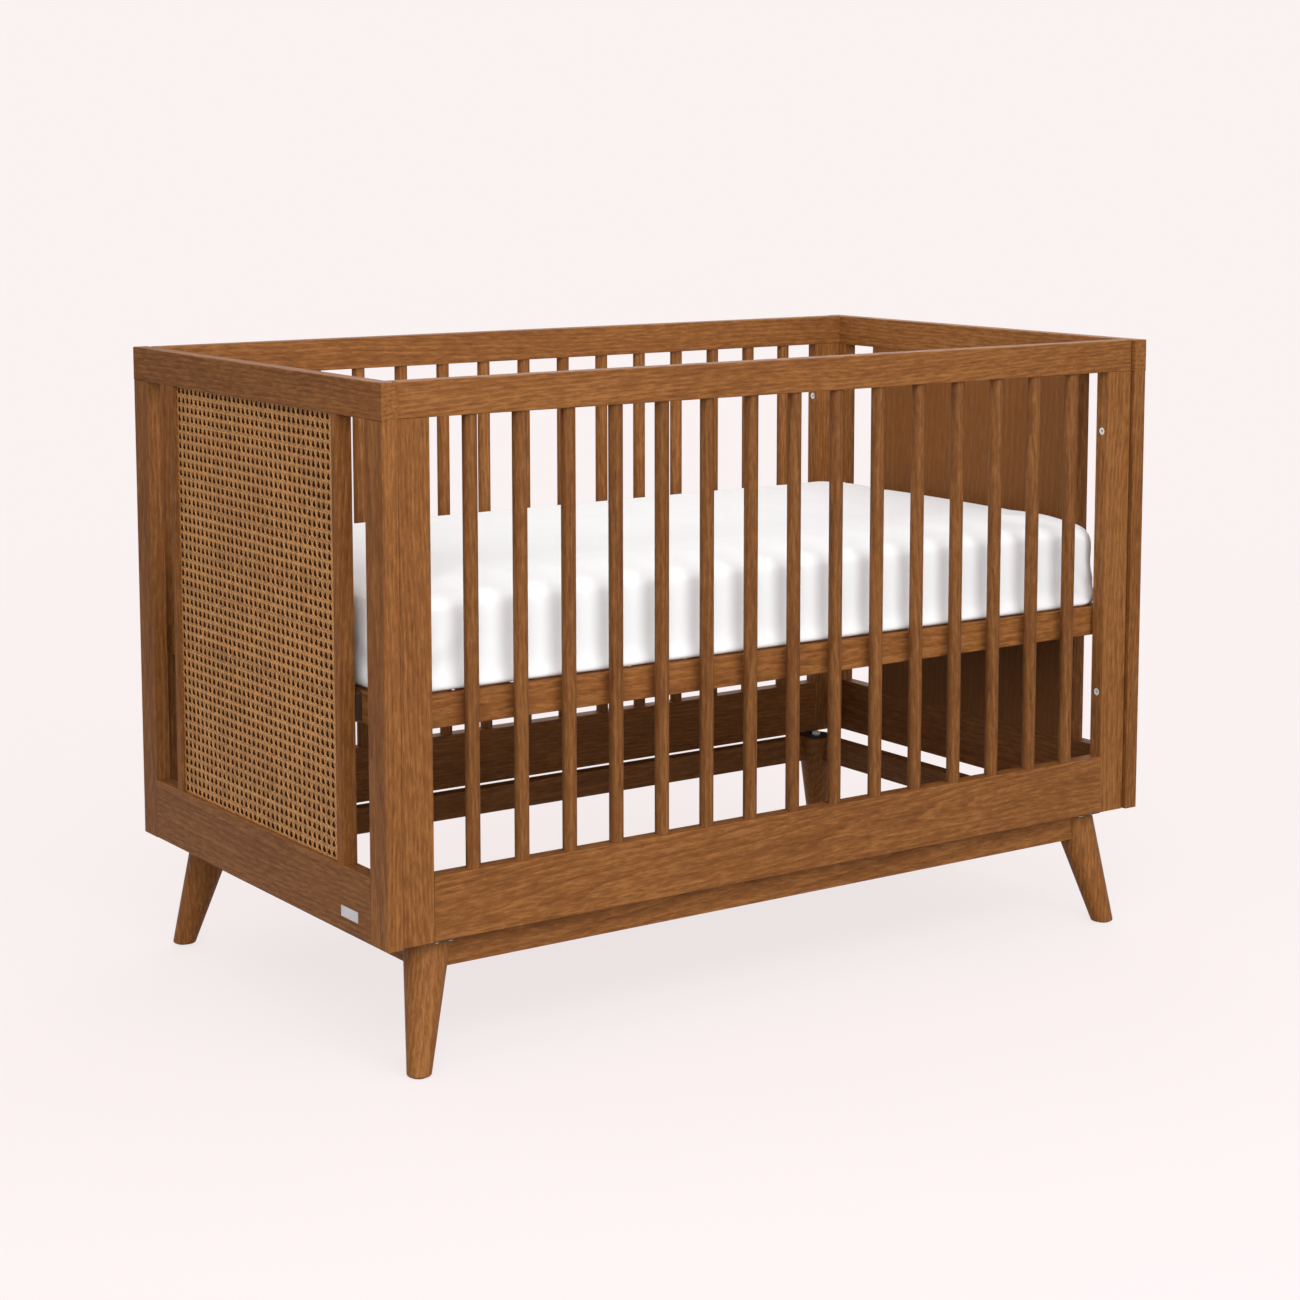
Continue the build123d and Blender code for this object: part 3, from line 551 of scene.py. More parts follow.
def metal_lines(tree, shader, colour, roughness, along):
    """The tone of machined or rolled metal, with fine lines along one axis in the roughness and the
    surface."""
    place = own_coordinates(tree)
    squeeze = [0.03 if axis == along else 1.0 for axis in "XYZ"]
    lines = noise(tree, stretch(tree, place, *squeeze), 3500.0, 3.0, 0.6)
    tone = mottled(tree, noise(tree, place, 60.0, 3.0, 0.5), colour, 0.86)
    rough = remap(tree, lines, 0.3, 0.7, roughness - 0.07, roughness + 0.1)
    feed(tree, shader, {"Roughness": rough, "Metallic": 1.0})
    raise_bump(tree, shader, lines, METAL_LINE_DEPTH)
    return blend_colour(tree, remap(tree, lines, 0.35, 0.65, 0.0, 0.35), tone, shaded(colour, 0.7))


def metal_finish(name, colour, roughness, along):
    """Machined or rolled metal with fine lines along one axis."""
    made, tree, shader = new_finish(name)
    feed(tree, shader, {"Base Color": metal_lines(tree, shader, colour, roughness, along)})
    return made


def bolt_finish():
    """Dull white zinc plating, metallic only in part, with painted shade inside each bolt's socket, where it
    turns dark and not metallic. All bolts lie along X, so the distance from the nearest bolt's centre line
    is the length of the Y and Z coordinates, each folded about the bolts' places."""
    made, tree, shader = new_finish("zinc-plated steel")
    plated = metal_lines(tree, shader, ZINC, 0.45, "Z")
    place = add(tree, "SeparateXYZ", {"Vector": own_coordinates(tree)}).outputs
    sideways = calculate(tree, "SUBTRACT", calculate(tree, "ABSOLUTE", place["Y"]), BOLT_SIDE)
    from_middle = calculate(tree, "ABSOLUTE", calculate(tree, "SUBTRACT", place["Z"], BOLT_MIDDLE))
    upward = calculate(tree, "SUBTRACT", from_middle, BOLT_RISE)
    folded = add(tree, "CombineXYZ", {0: sideways, 1: upward}).outputs[0]
    away = add(tree, "VectorMath", {0: folded}, operation="LENGTH").outputs["Value"]
    # Painted shade: the socket's inside is painted dark in place of the shade that falls in it.
    inside = remap(tree, away, SOCKET_RADIUS - 0.0003, SOCKET_RADIUS + 0.0002, 1.0, 0.0)
    feed(tree, shader, {
        "Base Color": blend_colour(tree, inside, plated, SOCKET_PAINTED_SHADE),
        "Metallic": remap(tree, inside, 0.0, 1.0, 0.35, 0.0),
    })
    return made


def moulded_finish(name, colour, roughness):
    """Moulded plastic or powder coat: a fine pebbled skin with a slight change of tone."""
    made, tree, shader = new_finish(name)
    place = own_coordinates(tree)
    pebbles = noise(tree, place, 0.5 / PEBBLE_SIZE, 2.0, 0.5)
    feed(tree, shader, {
        "Base Color": mottled(tree, noise(tree, place, 40.0, 3.0, 0.5), colour, 0.88),
        "Roughness": remap(tree, pebbles, 0.3, 0.7, roughness - 0.05, roughness + 0.08),
    })
    raise_bump(tree, shader, pebbles, PEBBLE_DEPTH)
    return made


class CRIB_OT_finish_hardware(bpy.types.Operator):
    """Finish the name plate, bolts, inserts, plates, pads and foot glides"""

    bl_idname = "crib.finish_hardware"
    bl_label = "Finish the hardware"

    def execute(self, context):
        finishes = {
            "brushed_plate": metal_finish("brushed name plate", (0.60, 0.61, 0.63), 0.34, "Y"),
            "bolt_steel": bolt_finish(),
            "insert_brass": metal_finish("turned brass", (0.70, 0.50, 0.22), 0.32, "Z"),
            "black_steel": moulded_finish("black powder coat", (0.018, 0.018, 0.020), 0.55),
            "glide_plastic": moulded_finish("brown glide plastic", (0.035, 0.022, 0.015), 0.50),
            "pad_plastic": moulded_finish("brown pad plastic", (0.050, 0.028, 0.017), 0.52),
        }
        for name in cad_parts:
            if slot_of(name) in finishes:
                put_on(name, finishes[slot_of(name)])
        return {"FINISHED"}


# ---------------------------------------------------------------- meshes


def new_piece(name, points, faces, material, smooth=True):
    """A mesh object at the origin from an array of points and one array of faces with as many corners
    each, or a list of such arrays."""
    groups = faces if isinstance(faces, list) else [faces]
    mesh = bpy.data.meshes.new(name)
    mesh.from_pydata(points, [], [face for group in groups for face in group.tolist()])
    mesh.polygons.foreach_set("use_smooth", [smooth] * len(mesh.polygons))
    mesh.materials.append(material)
    made = bpy.data.objects.new(name, mesh)
    bpy.context.scene.collection.objects.link(made)
    return made


def ring_faces(rings, count, inwards=False):
    """The faces between each ring of points and the next, for rings of count points each. They point
    outwards if each ring runs anticlockwise as seen from the last one, and inwards turns them round."""
    ring = np.arange(rings - 1)[:, None] * count
    place = np.arange(count)[None, :]
    following = (place + 1) % count
    corners = [ring + place, ring + following, ring + following + count, ring + place + count]
    if inwards:
        corners = [corners[0], corners[3], corners[2], corners[1]]
    return np.stack(corners, axis=-1).reshape(-1, 4)


def end_faces(rings, count, inwards=False):
    """One face over the first ring and one over the last, which point the same way as ring_faces."""
    ring = np.arange(count)
    faces = np.stack([ring[::-1], ring + (rings - 1) * count])
    return faces[:, ::-1] if inwards else faces


def set_point_value(piece, name, values):
    """Stores one number for each point as an attribute that a finish can read."""
    attribute = piece.data.attributes.new(name, "FLOAT", "POINT")
    attribute.data.foreach_set("value", np.asarray(values, np.float32))


# ---------------------------------------------------------------- woven cane

SECTION_POINTS = 6
STEPS_PER_HOLE = 5
# How far a strand strays sideways from its place.
STRAY = 0.00012
FIBRE_DEPTH = 0.00012
# The dark sheet behind the cane is painted shade: its gap, thickness, ripple, thread depth and two colours.
SHADE_SHEET_GAP = 0.0024
SHADE_SHEET_THICKNESS = 0.0005
SHADE_SHEET_RIPPLE = 0.00015
SHADE_SHEET_THREAD_DEPTH = 0.0001
SHADE_SHEET_DARK = (0.034, 0.011, 0.003)
SHADE_SHEET_LIGHT = (0.085, 0.028, 0.007)


def cane_finish(cane):
    """Split cane: a glossy skin with fibre lines along the strand, each strand in its own tone, darker
    towards its edges."""
    made, tree, shader = new_finish("woven cane")
    tone, edge, run = (
        add(tree, "Attribute", attribute_name=f"strand_{label}").outputs["Fac"]
        for label in ("tone", "edge", "run")
    )
    fibre_place = add(tree, "CombineXYZ", {
        0: calculate(tree, "MULTIPLY", run, 35.0), 1: calculate(tree, "MULTIPLY", edge, 3.0),
        2: calculate(tree, "MULTIPLY", tone, 90.0),
    }).outputs[0]
    fibres = noise(tree, fibre_place, 1.6, 3.0, 0.6)
    patches = noise(tree, own_coordinates(tree), 9.0, 3.0, 0.55)
    # The darker colour is blended in towards each strand's edges and in darker strands and fibres.
    share = add_up(tree, ((tone, 0.45), (fibres, 0.5), (patches, 0.14), (edge, -0.5)))
    feed(tree, shader, {
        "Base Color": blend_colour(tree, remap(tree, share, 0.0, 0.5), cane.shade, cane.skin),
        "Roughness": remap(tree, fibres, 0.3, 0.7, 0.38, 0.52), "Specular IOR Level": 0.5,
    })
    raise_bump(tree, shader, fibres, FIBRE_DEPTH)
    return made


def shade_sheet_finish():
    """Painted shade: a dark brown sheet with a fine plain weave that stands in for the shade in the cane's
    holes.
    """
    made, tree, shader = new_finish("cane backing cloth")
    weave = calculate(tree, "MAXIMUM", *thread_waves(tree, own_coordinates(tree), "YZ", 300.0, 0.8))
    feed(tree, shader, {
        "Base Color": blend_colour(tree, weave, SHADE_SHEET_DARK, SHADE_SHEET_LIGHT), "Roughness": 0.9,
        "Specular IOR Level": 0.15,
    })
    raise_bump(tree, shader, weave, SHADE_SHEET_THREAD_DEPTH)
    return made


def strand_sweep(lines, across, width, thickness, outward):
    """Flat oval strands along lines, which are an array of strands by steps by 3. The oval's half width
    lies along the strand's sideways direction across, its half thickness along the panel's outward
    direction, and both ends are closed by the oval. Gives the points, the side faces, the end faces and
    how near each of the oval's points is to the strand's edge."""
    strands, steps = lines.shape[:2]
    angle = np.linspace(0, 2 * np.pi, SECTION_POINTS, endpoint=False) + np.pi / SECTION_POINTS
    sideways = across[:, None, None, :] * np.cos(angle)[None, None, :, None] * width[:, None, None, None] / 2
    rising = outward * np.sin(angle)[None, None, :, None] * thickness / 2
    points = lines[:, :, None, :] + sideways + rising
    first = np.arange(strands)[:, None, None] * steps * SECTION_POINTS
    sides = (first + ring_faces(steps, SECTION_POINTS)).reshape(-1, 4)
    ends = (first + end_faces(steps, SECTION_POINTS)).reshape(-1, SECTION_POINTS)
    return points, sides, ends, np.abs(np.cos(angle))


def woven_rise(phase, sign):
    """How far a pair's strand stands out at a phase in hole pitches from a crossing pair's middle. It is
    one sine a pitch and half as much of its double, so that it peaks on the two crossing strands and lies
    flat between pairs."""
    return sign * (np.sin(2 * np.pi * phase) + 0.5 * np.sin(4 * np.pi * phase)) / 1.3


class Weave:
    """One end's cane panel: its plane, its holes' pitch and the turn from (across, up, out) to the crib's
    frame."""

    def __init__(self, end, cane):
        low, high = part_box(f"{end}_end_cane_sheet")
        self.out = -1.0 if end == "left" else 1.0
        self.plane = (low.x + high.x) / 2
        self.low = np.array([low.y, low.z])
        self.size = np.array([high.y - low.y, high.z - low.z])
        self.pitch = self.size / np.array([cane.columns, cane.rows])
        self.cane = cane
        self.pick = np.random.default_rng(7 if end == "left" else 11)

    def to_frame(self, across, up, out):
        """Points of the panel's own axes as points of the crib's frame."""
        return np.stack([self.plane + self.out * out, self.low[0] + across, self.low[1] + up], axis=-1)

    def pairs(self, along):
        """The pairs that run along axis 0 or 1, as lines of strands by steps and how far along each point
        lies. Two strands lie side by side at each hole's edge, and rise over and dip under the strands of
        the other direction by turns."""
        side = 1 - along
        count = round(self.size[side] / self.pitch[side])
        crossings = round(self.size[along] / self.pitch[along])
        middles = np.repeat(np.arange(count + 1) * self.pitch[side], 2)
        places = middles + np.tile([-0.5, 0.5], count + 1) * self.cane.pair_gap
        sign = np.tile([1.0, -1.0], count + 1)
        margin = self.cane.strand_width * 0.4
        inside = (places > margin) & (places < self.size[side] - margin)
        places, sign = places[inside], sign[inside]
        run = np.linspace(0, self.size[along], crossings * STEPS_PER_HOLE + 1)
        phase = run / self.pitch[along]
        rise = woven_rise(phase[None, :], sign[:, None] * (1 if along else -1)) * self.cane.weave
        other = places[:, None] + self.pick.normal(0, STRAY, (len(places), 1)) * np.ones_like(run)
        run = run[None, :] + np.zeros_like(other)
        across, up = (run, other) if along == 0 else (other, run)
        return self.to_frame(across, up, rise), run

    def diagonals(self, slope):
        """Strands that climb to the right (slope 1) or to the left (slope -1), as (line, how far along)
        for each. They pass half way between crossings, over the upright pairs and under the cross pairs
        or the other way, and end at the panel's edges."""
        columns, rows = self.size / self.pitch
        offsets = np.arange(-math.floor(rows), math.ceil(columns)) + 0.5
        starts, ends = np.maximum(offsets, 0), np.minimum(offsets + rows, columns)
        keep = ends - starts > 0.8
        parts = []
        for offset, start, end in zip(offsets[keep], starts[keep], ends[keep]):
            steps = max(3, int(round((end - start) * STEPS_PER_HOLE)) + 1)
            right = np.linspace(start, end, steps)
            up = right - offset
            rise = slope * np.cos(2 * np.pi * right) * self.cane.strand_thickness
            across = right if slope > 0 else columns - right
            stray = self.pick.normal(0, STRAY)
            line = self.to_frame(across * self.pitch[0] + stray, up * self.pitch[1], rise)
            parts.append((line[None], (right - start)[None] * np.hypot(*self.pitch)))
        return parts

    def backing(self, name, material):
        """A thin dark sheet close behind the weave, painted shade that keeps its holes dark. It is a grid
        with a slow ripple and a second one behind it, joined round their edges."""
        across, up = (np.linspace(0, size, steps) for size, steps in zip(self.size, (41, 51)))
        across, up = (grid.T for grid in np.meshgrid(across, up))
        ripple = SHADE_SHEET_RIPPLE * np.sin(across * 90 + 2 * np.sin(up * 31)) * np.sin(up * 70)
        depth = SHADE_SHEET_GAP + ripple
        front = self.to_frame(across, up, -depth)
        back = self.to_frame(across, up, -depth - SHADE_SHEET_THICKNESS)
        columns, rows = across.shape
        number = np.arange(columns * rows).reshape(columns, rows)
        corners = [number[:-1, :-1], number[1:, :-1], number[1:, 1:], number[:-1, 1:]]
        cells = np.stack(corners, axis=-1).reshape(-1, 4)
        rim = np.concatenate([number[:, 0], number[-1, 1:], number[-2::-1, -1], number[0, -2:0:-1]])
        following = np.roll(rim, -1)
        behind = columns * rows
        edge = np.stack([rim, rim + behind, following + behind, following], axis=-1)
        faces = np.concatenate([cells, cells[:, ::-1] + behind, edge])
        if self.out < 0:
            faces = faces[:, ::-1]
        points = np.concatenate([front.reshape(-1, 3), back.reshape(-1, 3)])
        return new_piece(name, points, faces, material)

    def make(self, name, groups, material):
        """Sweeps the strands of each group of lines and joins them into one piece that rides on the
        frame."""
        points, sides, caps, tones, edges, runs = [], [], [], [], [], []
        placed = 0
        outward = np.array([self.out, 0, 0])
        for lines, run in groups:
            strands = len(lines)
            width = self.cane.strand_width * self.pick.uniform(0.93, 1.05, strands)
            # The oval must turn the same way for every strand, so its sideways direction follows from the
            # run and the way out.
            across = np.cross(outward, lines[:, -1] - lines[:, 0])
            across /= np.linalg.norm(across, axis=1)[:, None]
            made, faces, ends, edge = strand_sweep(lines, across, width, self.cane.strand_thickness, outward)
            points.append(made.reshape(-1, 3))
            sides.append(faces + placed)
            caps.append(ends + placed)
            tones.append(np.repeat(self.pick.uniform(0, 1, strands), made.shape[1] * SECTION_POINTS))
            edges.append(np.tile(edge, strands * made.shape[1]))
            runs.append(np.repeat(run.reshape(-1), SECTION_POINTS))
            placed += made.shape[0] * made.shape[1] * SECTION_POINTS
        faces = [np.concatenate(sides), np.concatenate(caps)]
        piece = new_piece(name, np.concatenate(points), faces, material)
        for label, values in (("tone", tones), ("edge", edges), ("run", runs)):
            set_point_value(piece, f"strand_{label}", np.concatenate(values))
        return piece


class CRIB_OT_weave_cane(bpy.types.Operator):
    """Weave the cane panels of both ends from paired uprights, paired crosses and diagonals"""

    bl_idname = "crib.weave_cane"
    bl_label = "Weave the cane"

    def execute(self, context):
        cane = context.scene.crib_cane
        material = cane_finish(cane)
        # Painted shade: a dark sheet behind each panel keeps the holes dark in place of real shade.
        cloth = shade_sheet_finish()
        for end in ENDS:
            weave = Weave(end, cane)
            groups = {
                "uprights": [weave.pairs(1)],
                "crosses": [weave.pairs(0)],
                "diagonals": weave.diagonals(1) + weave.diagonals(-1),
            }
            pieces = [weave.make(f"{end}_cane_{part}", lines, material) for part, lines in groups.items()]
            pieces.append(weave.backing(f"{end}_cane_backing", cloth))
            for piece in pieces:
                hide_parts(f"{end}_end_cane_sheet")
                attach(piece, "frame")
        return {"FINISHED"}


# ---------------------------------------------------------------- mattress

OUTLINE_POINTS = 240
# Steps of the profile round each edge, and across the top or the underside.
EDGE_STEPS = 8
FLAT_STEPS = 14
# Radius of the lower edge as a share of the upper one's.
SOLE_SHARE = 0.22
# Shares of the droop at the ends, at the long sides and at the corners.
END_DROOP = 0.55
SIDE_DROOP = 0.25
CORNER_DROOP = 0.6
# Points of the sheet below this height lie tucked under the mattress and stay put.
TUCKED_HEIGHT = 0.012
CLOTH_FRAMES = 20
CLOTH_STIFFNESS = {
    "quality": 5, "mass": 0.25, "tension_stiffness": 12, "compression_stiffness": 12,
    "bending_stiffness": 1.5,
}
# How far from a corner its folds reach, along the sides and as a share of the height, and how high they
# stand.
FOLD_REACH = 0.16
FOLD_RISE = 0.75
FOLD_DEPTH = 0.0011
# Slow and quick undulations of the sides, as (waves in radians a metre, depth).
SLOW_SWAY = (23, 0.00045)
QUICK_SWAY = (61, 0.00018)
SEAM_RADIUS = 0.0009
SEAM_STEPS = 44
SEAM_SIDES = 8
# A seam's rays leave a hub this far inside the corner, tilted between these angles.
SEAM_HUB = 0.09
SEAM_TILT = (-34, 50)


def rounded_outline(half_x, half_y, radius, count):
    """Points evenly spaced round a rectangle with quarter-circle corners, from the middle of its right
    side."""
    angle = np.linspace(0, 2 * np.pi, 721)
    centre_x = np.sign(np.cos(angle)) * (half_x - radius)
    centre_y = np.sign(np.sin(angle)) * (half_y - radius)
    corners = np.stack([centre_x + radius * np.cos(angle), centre_y + radius * np.sin(angle)], axis=1)
    start = np.array([[half_x, 0.0]])
    outline = np.concatenate([start, corners[1:-1], start])
    length = np.concatenate([[0], np.cumsum(np.linalg.norm(np.diff(outline, axis=0), axis=1))])
    even = np.linspace(0, length[-1], count, endpoint=False)
    return np.stack([np.interp(even, length, outline[:, axis]) for axis in range(2)], axis=1)


def mattress_shell(low, high, edge, corner, droop):
    """A closed slab. Rounded rectangles, each drawn in by an inset, are stacked along a profile that runs
    from the middle of the underside, round the lower edge, up the side, round the upper edge and to the
    middle of the top. A point sinks in step with its height by shares of the droop that grow with high
    powers of how far out it lies along the length, along the width, and along both at once."""
    half = (high - low) / 2
    middle = (high + low) / 2
    thickness = 2 * half.z
    quarter = np.linspace(0, np.pi / 2, EDGE_STEPS)
    sole = SOLE_SHARE * edge
    inmost = half.y * 0.98
    below = np.linspace(inmost, sole, FLAT_STEPS)[:-1]
    above = np.linspace(inmost, edge, FLAT_STEPS)[::-1][1:]
    insets = np.concatenate([below, sole * (1 - np.sin(quarter)), edge * (1 - np.cos(quarter)), above])
    lower = sole * (1 - np.cos(quarter))
    upper = thickness - edge * (1 - np.sin(quarter))
    heights = np.concatenate([np.zeros(len(below)), lower, upper, np.full(len(above), thickness)])

    def outline(inset):
        radius = min(max(corner - inset, edge / 4), 0.9 * (half.y - inset))
        return rounded_outline(half.x - inset, half.y - inset, radius, OUTLINE_POINTS)

    plan = np.stack([outline(inset) for inset in insets])
    rise = np.repeat(heights[:, None], OUTLINE_POINTS, axis=1)
    out_x, out_y = np.abs(plan[..., 0]) / half.x, np.abs(plan[..., 1]) / half.y
    sunk = END_DROOP * out_x**10 + SIDE_DROOP * out_y**8 + out_x**7 * out_y**5 * CORNER_DROOP
    rise = rise - droop * np.clip(rise / thickness, 0, 1) * sunk
    points = np.stack([plan[..., 0] + middle.x, plan[..., 1] + middle.y, rise + low.z], axis=-1)
    rings = len(insets)
    return points.reshape(-1, 3), [ring_faces(rings, OUTLINE_POINTS), end_faces(rings, OUTLINE_POINTS)]


def evaluated_copy(piece):
    """The piece's mesh with its modifiers applied."""
    shown = piece.evaluated_get(bpy.context.evaluated_depsgraph_get())
    return bpy.data.meshes.new_from_object(shown)


def apply_modifiers(piece):
    """Puts the piece's modifiers into its mesh."""
    mesh = evaluated_copy(piece)
    piece.modifiers.clear()
    piece.data = mesh


def mesh_points(mesh):
    """A mesh's points as an array."""
    points = np.empty(len(mesh.vertices) * 3, np.float32)
    mesh.vertices.foreach_get("co", points)
    return points.reshape(-1, 3).astype(float)


def swell_cloth(piece, pinned, settings):
    """Steps a pressure cloth over the piece, with the pinned points held and how far any point moves
    capped, and leaves the result in the mesh."""
    scene = bpy.context.scene
    start = mesh_points(piece.data)
    held = piece.vertex_groups.new(name="held")
    held.add(np.flatnonzero(pinned).tolist(), 1.0, "REPLACE")
    cloth = piece.modifiers.new("cloth", "CLOTH")
    for name, value in CLOTH_STIFFNESS.items():
        setattr(cloth.settings, name, value)
    cloth.settings.use_pressure = True
    cloth.settings.uniform_pressure_force = settings.pressure
    cloth.settings.vertex_group_mass = held.name
    cloth.settings.effector_weights.gravity = 0
    cloth.point_cache.frame_start = 1
    cloth.point_cache.frame_end = CLOTH_FRAMES
    for step in range(1, CLOTH_FRAMES + 1):
        scene.frame_set(step)
    moved = mesh_points(evaluated_copy(piece)) - start
    piece.modifiers.clear()
    scene.frame_set(1)
    far = np.linalg.norm(moved, axis=1)
    allowed = settings.most_swell * np.tanh(far / settings.most_swell)
    moved *= (allowed / np.maximum(far, 1e-9))[:, None]
    piece.data.vertices.foreach_set("co", (start + moved).astype(np.float32).ravel())
    piece.data.update()


def sheet_ease(points, low, high):
    """How far the sheet stands out at each point: slow undulations along the sides, and folds that fan
    out from each lower corner, strongest at the corner and gone a hand's width away."""
    half = (high - low) / 2
    from_middle = points - np.array((high + low) / 2)
    to_corner = np.hypot(half.x - np.abs(from_middle[:, 0]), half.y - np.abs(from_middle[:, 1]))
    height = (points[:, 2] - low.z) / (high.z - low.z)
    fan = np.arctan2(np.maximum(height, 0.02) * (high.z - low.z), to_corner + 0.02)
    near = np.exp(-((to_corner / FOLD_REACH) ** 2)) * np.exp(-((height / FOLD_RISE) ** 4))
    folds = near * np.sin(fan * 17 + 1.3 * np.sign(from_middle[:, 0])) * FOLD_DEPTH
    girth = points[:, 0] + points[:, 1] * 1.3
    slow = np.sin(girth * SLOW_SWAY[0] + 1.1 * np.sin(girth * 9)) * SLOW_SWAY[1]
    quick = np.sin(girth * QUICK_SWAY[0] + 2.0) * QUICK_SWAY[1]
    sides = np.exp(-(((height - 0.35) / 0.35) ** 2))
    return folds + sides * (slow + quick)


def sheet_finish(colour):
    """Washed cotton: a fine plain weave, soft creases a few centimetres long and a slight fuzz, with painted
    shade a little darker in the creases' hollows and between the threads.
    """
    made, tree, shader = new_finish("fitted sheet cotton")
    place = own_coordinates(tree)
    creases = noise(tree, stretch(tree, place, 1, 1, 0.55), 16.0, 3.0, 0.55)
    threads_x, threads_y, threads_z = thread_waves(tree, place, "XYZ", 260.0, 0.6)
    threads = calculate(tree, "ADD", calculate(tree, "MAXIMUM", threads_x, threads_y), threads_z)
    # Painted shade: the crease hollows are painted slightly darker.
    tone = mottled(tree, creases, colour, 0.975)
    # Painted shade: the gaps between the threads are painted darker.
    between = remap(tree, threads, 0.4, 1.9, 0.05, 0.0)
    fine = add(tree, "Bump", {"Height": threads, "Distance": 0.00005, "Strength": 0.5}).outputs[0]
    soft = add(tree, "Bump", {
        "Height": creases, "Distance": 0.0016, "Strength": 0.35, "Normal": fine,
    }).outputs[0]
    feed(tree, shader, {
        "Base Color": blend_colour(tree, between, tone, shaded(colour, 0.6)),
        "Roughness": remap(tree, threads, 0.4, 1.9, 0.88, 0.80), "Specular IOR Level": 0.25,
        "Sheen Weight": 0.12, "Sheen Roughness": 0.5, "Normal": soft,
    })
    return made


def corner_seams(cover, low, high, material):
    """A raised seam down each of the sheet's four corners. Rays in the corner's upright diagonal plane
    start from outside and meet the sheet, and a small round cord is carried along where they meet it."""
    surface = BVHTree.FromObject(cover, bpy.context.evaluated_depsgraph_get())
    middle = (low + high) / 2
    reach = (high - low) / 2 - Vector((SEAM_HUB, SEAM_HUB, 0))
    round_angle = np.linspace(0, 2 * np.pi, SEAM_SIDES, endpoint=False)[None, :, None]
    tube = ring_faces(SEAM_STEPS, SEAM_SIDES, inwards=True)
    points, faces = [], []
    for right, back in ((1, 1), (-1, 1), (-1, -1), (1, -1)):
        across = Vector((right, back, 0)).normalized()
        hub = middle + Vector((right * reach.x, back * reach.y, 0))
        line = []
        for angle in np.radians(np.linspace(*SEAM_TILT, SEAM_STEPS)):
            way = across * math.cos(angle) + Vector((0, 0, math.sin(angle)))
            met = surface.ray_cast(hub + way * 0.5, -way)[0]
            if met is None:
                raise RuntimeError("a corner seam's ray misses the sheet")
            line.append(met)
        line = np.array(line)
        run = np.gradient(line, axis=0)
        run /= np.linalg.norm(run, axis=1)[:, None]
        beside = np.array(across.cross(Vector((0, 0, 1))))
        out = np.cross(run, beside)[:, None]
        rings = line[:, None] + SEAM_RADIUS * (np.cos(round_angle) * beside + np.sin(round_angle) * out)
        faces.append(tube + len(points) * SEAM_STEPS * SEAM_SIDES)
        points.append(rings.reshape(-1, 3))
    return new_piece("sheet_corner_seams", np.concatenate(points), np.concatenate(faces), material)


class CRIB_OT_dress_mattress(bpy.types.Operator):
    """Swell the fitted sheet over the mattress's core and sew its corner seams"""

    bl_idname = "crib.dress_mattress"
    bl_label = "Dress the mattress"

    def execute(self, context):
        settings = context.scene.crib_mattress
        low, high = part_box("mattress")
        shrink = Vector((settings.inset,) * 3)
        start_low, start_high = low + shrink, high - shrink
        start_low.z = low.z
        material = sheet_finish(settings.sheet)
        points, faces = mattress_shell(start_low, start_high, settings.edge, settings.corner, settings.droop)
        cover = new_piece("mattress_sheet", points, faces, material)
        remesh = cover.modifiers.new("cells", "REMESH")
        remesh.mode = "VOXEL"
        remesh.voxel_size = settings.voxel
        remesh.use_smooth_shade = True
        apply_modifiers(cover)
        pinned = mesh_points(cover.data)[:, 2] < low.z + TUCKED_HEIGHT
        swell_cloth(cover, pinned, settings)
        division = cover.modifiers.new("division", "SUBSURF")
        division.levels = division.render_levels = 1
        apply_modifiers(cover)
        self.ease_sheet(cover, low, high)
        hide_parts("mattress")
        seams = corner_seams(cover, low, high, material)
        for piece in (cover, seams):
            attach(piece, "mattress")
        return {"FINISHED"}

    @staticmethod
    def ease_sheet(cover, low, high):
        """Moves each point along its normal by the sheet's ease, and keeps the underside flat on the
        slats."""
        mesh = cover.data
        points = mesh_points(mesh)
        normals = np.empty(len(mesh.vertices) * 3, np.float32)
        mesh.vertex_normals.foreach_get("vector", normals)
        points += normals.reshape(-1, 3) * sheet_ease(points, low, high)[:, None]
        points[:, 2] = np.maximum(points[:, 2], low.z)
        mesh.vertices.foreach_set("co", points.astype(np.float32).ravel())
        mesh.polygons.foreach_set("use_smooth", [True] * len(mesh.polygons))
        mesh.update()


# ---------------------------------------------------------------- stage

FLOOR_RADIUS = 9.0
BACKDROP_RADIUS = 30.0
# The floor fades into the backdrop between these distances from the crib's middle.
FADE_FROM = 1.6
FADE_TO = 5.0
# The studio lights the open floor this much brighter than its own tone.
FLOOR_LIGHT = 1.15
SKY_COLOUR = (1.0, 0.975, 0.97, 1)
SENSOR_WIDTH = 36
LENS_SHIFT = (-0.01087, -0.13077)


def rings_of(distance, height, spokes):
    """Rings of points round the Z axis, from each ring's distance and height."""
    angle = np.linspace(0, 2 * np.pi, spokes, endpoint=False)
    distance = distance[:, None]
    upward = height[:, None] * np.ones(spokes)
    return np.stack([distance * np.cos(angle), distance * np.sin(angle), upward], axis=-1).reshape(-1, 3)


def disc(rings, spokes, radius):
    """A flat round sheet whose rings run from near its middle, which one face closes, out to its radius.
    """
    distance = np.linspace(0, radius, rings + 1)[1:]
    points = rings_of(distance, np.zeros(rings), spokes)
    return points, [ring_faces(rings, spokes, inwards=True), np.arange(spokes)[None, :]]


